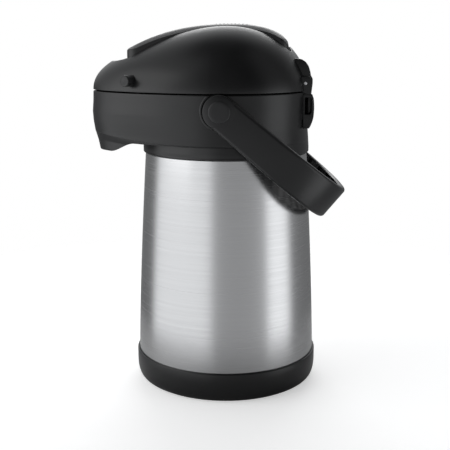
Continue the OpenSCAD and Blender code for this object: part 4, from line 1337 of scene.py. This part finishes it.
def bail_sweep(name, line, half_t, shift, wall, corner):
    """Round-cornered band along the line, moved by shift towards the outside."""
    tangent = np.stack([np.gradient(line[:, 0]), np.gradient(line[:, 1])], axis=1)
    tangent /= np.linalg.norm(tangent, axis=1)[:, None]
    outward = np.stack([tangent[:, 1], -tangent[:, 0]], axis=1)
    corners = ((1, 1, 0), (-1, 1, 90), (-1, -1, 180), (1, -1, 270))
    section = [(cx, cy, math.cos(a), math.sin(a)) for cx, cy, start in corners
               for a in np.radians(np.linspace(start, start + 90, 6))]
    rings = []
    for point, way in zip(line, outward):
        half_w = bail_half_w(point[1]) - wall
        ring = []
        for cx, cy, ca, sa in section:
            off = shift + cx * (half_t - corner) + corner * ca
            across = cy * (half_w - corner) + corner * sa
            ring.append((point[0] + way[0] * off, point[1] + way[1] * off, across))
        rings.append(ring)
    return closed_grid(name, rings, False, SHARP_WIDE)


def make_bail():
    """Band hollowed out on its inner side, with ribs across the hollow, and round hubs."""
    outer_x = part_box("pivot_caps")[1].x - 2.4 * MM
    mid_x = outer_x - BAIL_THICK / 2
    line = bail_line(mid_x, 0.0)
    hollow_line = bail_line(mid_x, 20 * MM)
    hollow_deep, wall = 5 * MM, 2 * MM
    band_corner, hollow_corner = 3.0 * MM, 1.2 * MM
    band = bail_sweep("band", line, BAIL_THICK / 2, 0.0, 0.0, band_corner)
    hollow = bail_sweep("cut_hollow", hollow_line, hollow_deep, -BAIL_THICK / 2, wall, hollow_corner)
    cut(band, [hollow], SHARP_WIDE)
    middle = [(x, u, 0) for x, u in hollow_line]
    sunk = 1 * MM
    ribs = grow("ribs", BAIL_RIBS, {
        "Spacing": 15 * MM, "Thickness": 1.2 * MM, "Depth": 4 * MM, "Reach": BAIL_REACH,
        "Near Width": 2 * (BAIL_HUB_W - sunk), "Far Width": 2 * (BAIL_GRIP_W - sunk),
        "Material": BLACK}, middle, [(k, k + 1) for k in range(len(middle) - 1)])
    place = Matrix.Translation((0, PIVOT.y, PIVOT.z)) @ Matrix.Rotation(-BAIL_TILT, 4, "X")
    band.data.transform(place)
    ribs.data.transform(place)
    parts = [band, ribs]
    back, r = HEAD_R + HUB_GAP, BAIL_HUB_W
    # the hub's face stands a hair out of the band, so the two faces don't coincide
    face = outer_x + 0.15 * MM
    profile = [(BORE_R, back), (r - 0.4 * MM, back), (r, back + 0.5 * MM), (r, face - 1.4 * MM),
               (r - 0.4 * MM, face - 0.5 * MM), (r - 1.4 * MM, face), (BORE_R, face)]
    for side in (-1, 1):
        parts.append(lathe("hub", profile, 96, axis=frame_along((side, 0, 0), (0, PIVOT.y, PIVOT.z))))
    bail = join("bail_band", parts)
    dress(bail, BLACK, "bail", "black_plastic", "bail_handle")


def make_caps():
    """Low round caps, each with a peg into its stud."""
    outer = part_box("pivot_caps")[1].x
    face, back, peg_end, peg_r = outer - 1.1 * MM, outer - 2 * MM, outer - 7.4 * MM, 2.5 * MM
    profile = [(AXIS_R, face), (6 * MM, face - 0.03 * MM), (8.6 * MM, face - 0.15 * MM),
               (9.2 * MM, face - 0.4 * MM), (9.5 * MM, back), (peg_r, back), (peg_r, peg_end),
               (AXIS_R, peg_end)]
    parts = []
    for side in (-1, 1):
        parts.append(lathe("cap", profile, 96, axis=frame_along((side, 0, 0), (0, PIVOT.y, PIVOT.z))))
    caps = join("hub_caps", parts)
    dress(caps, SOFT_BLACK, "pot", "soft_black", "pivot_caps")


# ---- screws, springs and pad ribs -------------------------------------------------------------

SCREW_HEAD_R, SCREW_HEAD_H, SCREW_BORE_R = 3.2 * MM, 2 * MM, 1.65 * MM


def make_screw(length):
    """Pan-head screw with a cross recess; the head's underside is at its origin."""
    head, height, shank, round_r = SCREW_HEAD_R, SCREW_HEAD_H, SCREW_BORE_R, 0.9 * MM
    profile = [(AXIS_R, -length), (shank * 0.6, -length), (shank, -length + 0.8 * MM), (shank, 0),
               (head - 0.2 * MM, 0)]
    profile += arc(head - round_r, height - 1.1 * MM, round_r, 0, 70, 6)
    profile += [(head * 0.4, height - 0.04 * MM), (AXIS_R, height)]
    screw = lathe("screw", profile, 40)
    long, thin, deep = 1.7 * MM, 0.35 * MM, height - 1.2 * MM
    cross = [prism("cut_cross", [(-a, -b), (a, -b), (a, b), (-a, b)], "z", deep, height + 1 * MM)
             for a, b in ((long, thin), (thin, long))]
    return cut(screw, cross, SHARP_WIDE)


def screws_on(name, node, length, points, place, body):
    """Screws of one node, made in a frame whose Z leaves the head."""
    screw = make_screw(length)
    values = {"Copy": screw, "Turn": math.pi / 2, "Material": FASTENER_STEEL}
    piece = grow(name, PLACED_COPIES, values, points)
    piece.data.transform(place)
    bpy.data.objects.remove(screw)
    dress(piece, FASTENER_STEEL, body, "fastener_steel", node)


def make_screws():
    """Four screws each for collar, lid plate and hinge bracket."""
    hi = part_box("collar_screws")[1]
    at = hi.x - SCREW_HEAD_R
    spots = [(a * at, b * at, 0) for a in (-1, 1) for b in (-1, 1)]
    upright = Matrix.Translation((0, 0, hi.z - SCREW_HEAD_H))
    screws_on("collar_cross_screws", "collar_screws", 8 * MM, spots, upright, "pot")
    lo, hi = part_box("lid_screws")
    x, y = hi.x - SCREW_HEAD_R, hi.y - SCREW_HEAD_R
    spots = [(a * x, b * y, 0) for a in (-1, 1) for b in (-1, 1)]
    hanging = Matrix.Translation((0, 0, lo.z + SCREW_HEAD_H)) @ Matrix.Rotation(math.pi, 4, "X")
    screws_on("lid_cross_screws", "lid_screws", 10 * MM, spots, hanging, "lid")
    lo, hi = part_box("bracket_screws")
    x = hi.x - SCREW_HEAD_R
    spots = [(a * x, z, 0) for a in (-1, 1) for z in (lo.z + SCREW_HEAD_R, hi.z - SCREW_HEAD_R)]
    level = Matrix.Translation((0, lo.y + SCREW_HEAD_H, 0)) @ Matrix.Rotation(math.pi / 2, 4, "X")
    screws_on("bracket_cross_screws", "bracket_screws", 6 * MM, spots, level, "pot")


def make_springs():
    """Coil inside the bellows, and one behind each release button."""
    lo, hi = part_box("bellows_spring")
    wire = 1 * MM
    coil = grow("bellows_coil", WIRE_COIL, {
        "Radius": hi.x - wire, "Height": hi.z - lo.z - 2 * wire, "Turns": 6.0, "Wire": wire,
        "Material": FASTENER_STEEL})
    coil.data.transform(Matrix.Translation((0, 0, lo.z + wire)))
    dress(coil, FASTENER_STEEL, "lid", "fastener_steel", "bellows_spring")
    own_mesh(coil)
    base, length, radius, wire = -20.4 * MM, 6.8 * MM, 3.4 * MM, 0.4 * MM
    for side, label in ((1, "right"), (-1, "left")):
        at, out = button_frame(side)
        foot = at + out * base
        small = grow("button_coil_" + label, WIRE_COIL, {
            "Radius": radius, "Height": length, "Turns": 4.0, "Wire": wire, "Material": FASTENER_STEEL})
        small.data.transform(frame_along(out, foot))
        dress(small, FASTENER_STEEL, "lid", "fastener_steel", "button_spring_" + label)
        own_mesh(small)


def make_bellows():
    """Rubber bellows with rounded folds, built at one length; the real one shortens as the piston comes down."""
    lo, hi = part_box("bellows")
    folds, deep, skin = 5, 7 * MM, 1.2 * MM
    heights = np.linspace(lo.z, hi.z - 0.2 * MM, folds * 16 + 1)
    share = (heights - lo.z) / (hi.z - lo.z)
    wave = 0.5 - 0.5 * np.cos(2 * math.pi * folds * share)
    radius = hi.x - deep + deep * np.power(wave, 0.8)
    profile = list(zip(radius, heights)) + list(zip(radius[::-1] - skin, heights[::-1]))
    bellows = lathe("bellows_folds", profile, 120)
    dress(bellows, RUBBER, "lid", "grey_rubber", "bellows")
    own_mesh(bellows)


def make_pad_ribs():
    """Low ribs across the thumb pad."""
    lo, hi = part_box("panel_pad")
    half, high, rib_r = (hi.x - lo.x) / 2 - 5 * MM, 0.24 * MM, 0.7 * MM
    foot_w, foot_z, spacing = 0.8 * MM, -0.3 * MM, 3.5 * MM
    top = [(y, z * high / rib_r) for y, z in arc(0, 0, rib_r, 0, 180, 9)]
    bar = prism("bar", [(foot_w, foot_z)] + top + [(-foot_w, foot_z)], "x", -half, half)
    rows = np.arange(lo.y + 6 * MM, hi.y - 5 * MM, spacing)
    spots = [(0, y, float(panel_z(y)) + 0.05 * MM) for y in rows]
    ribs = grow("pad_ribs", PLACED_COPIES, {"Copy": bar, "Material": SOFT_BLACK}, spots)
    bpy.data.objects.remove(bar)
    dress(ribs, SOFT_BLACK, "panel", "soft_black")


PLACED_COPIES = placed_copies()
WIRE_COIL = wire_coil()
BAIL_RIBS = cross_ribs()

make_camera()
make_studio()
make_floor()
dress_cad_nodes()
make_jug()
make_base()
make_collar()
make_pivot_bosses()
make_lid()
make_hinge_ear()
make_buttons()
make_panel()
make_pad()
make_bracket()
make_hinge_pin()
make_bail()
make_caps()
make_screws()
make_bellows()
make_springs()
make_pad_ribs()
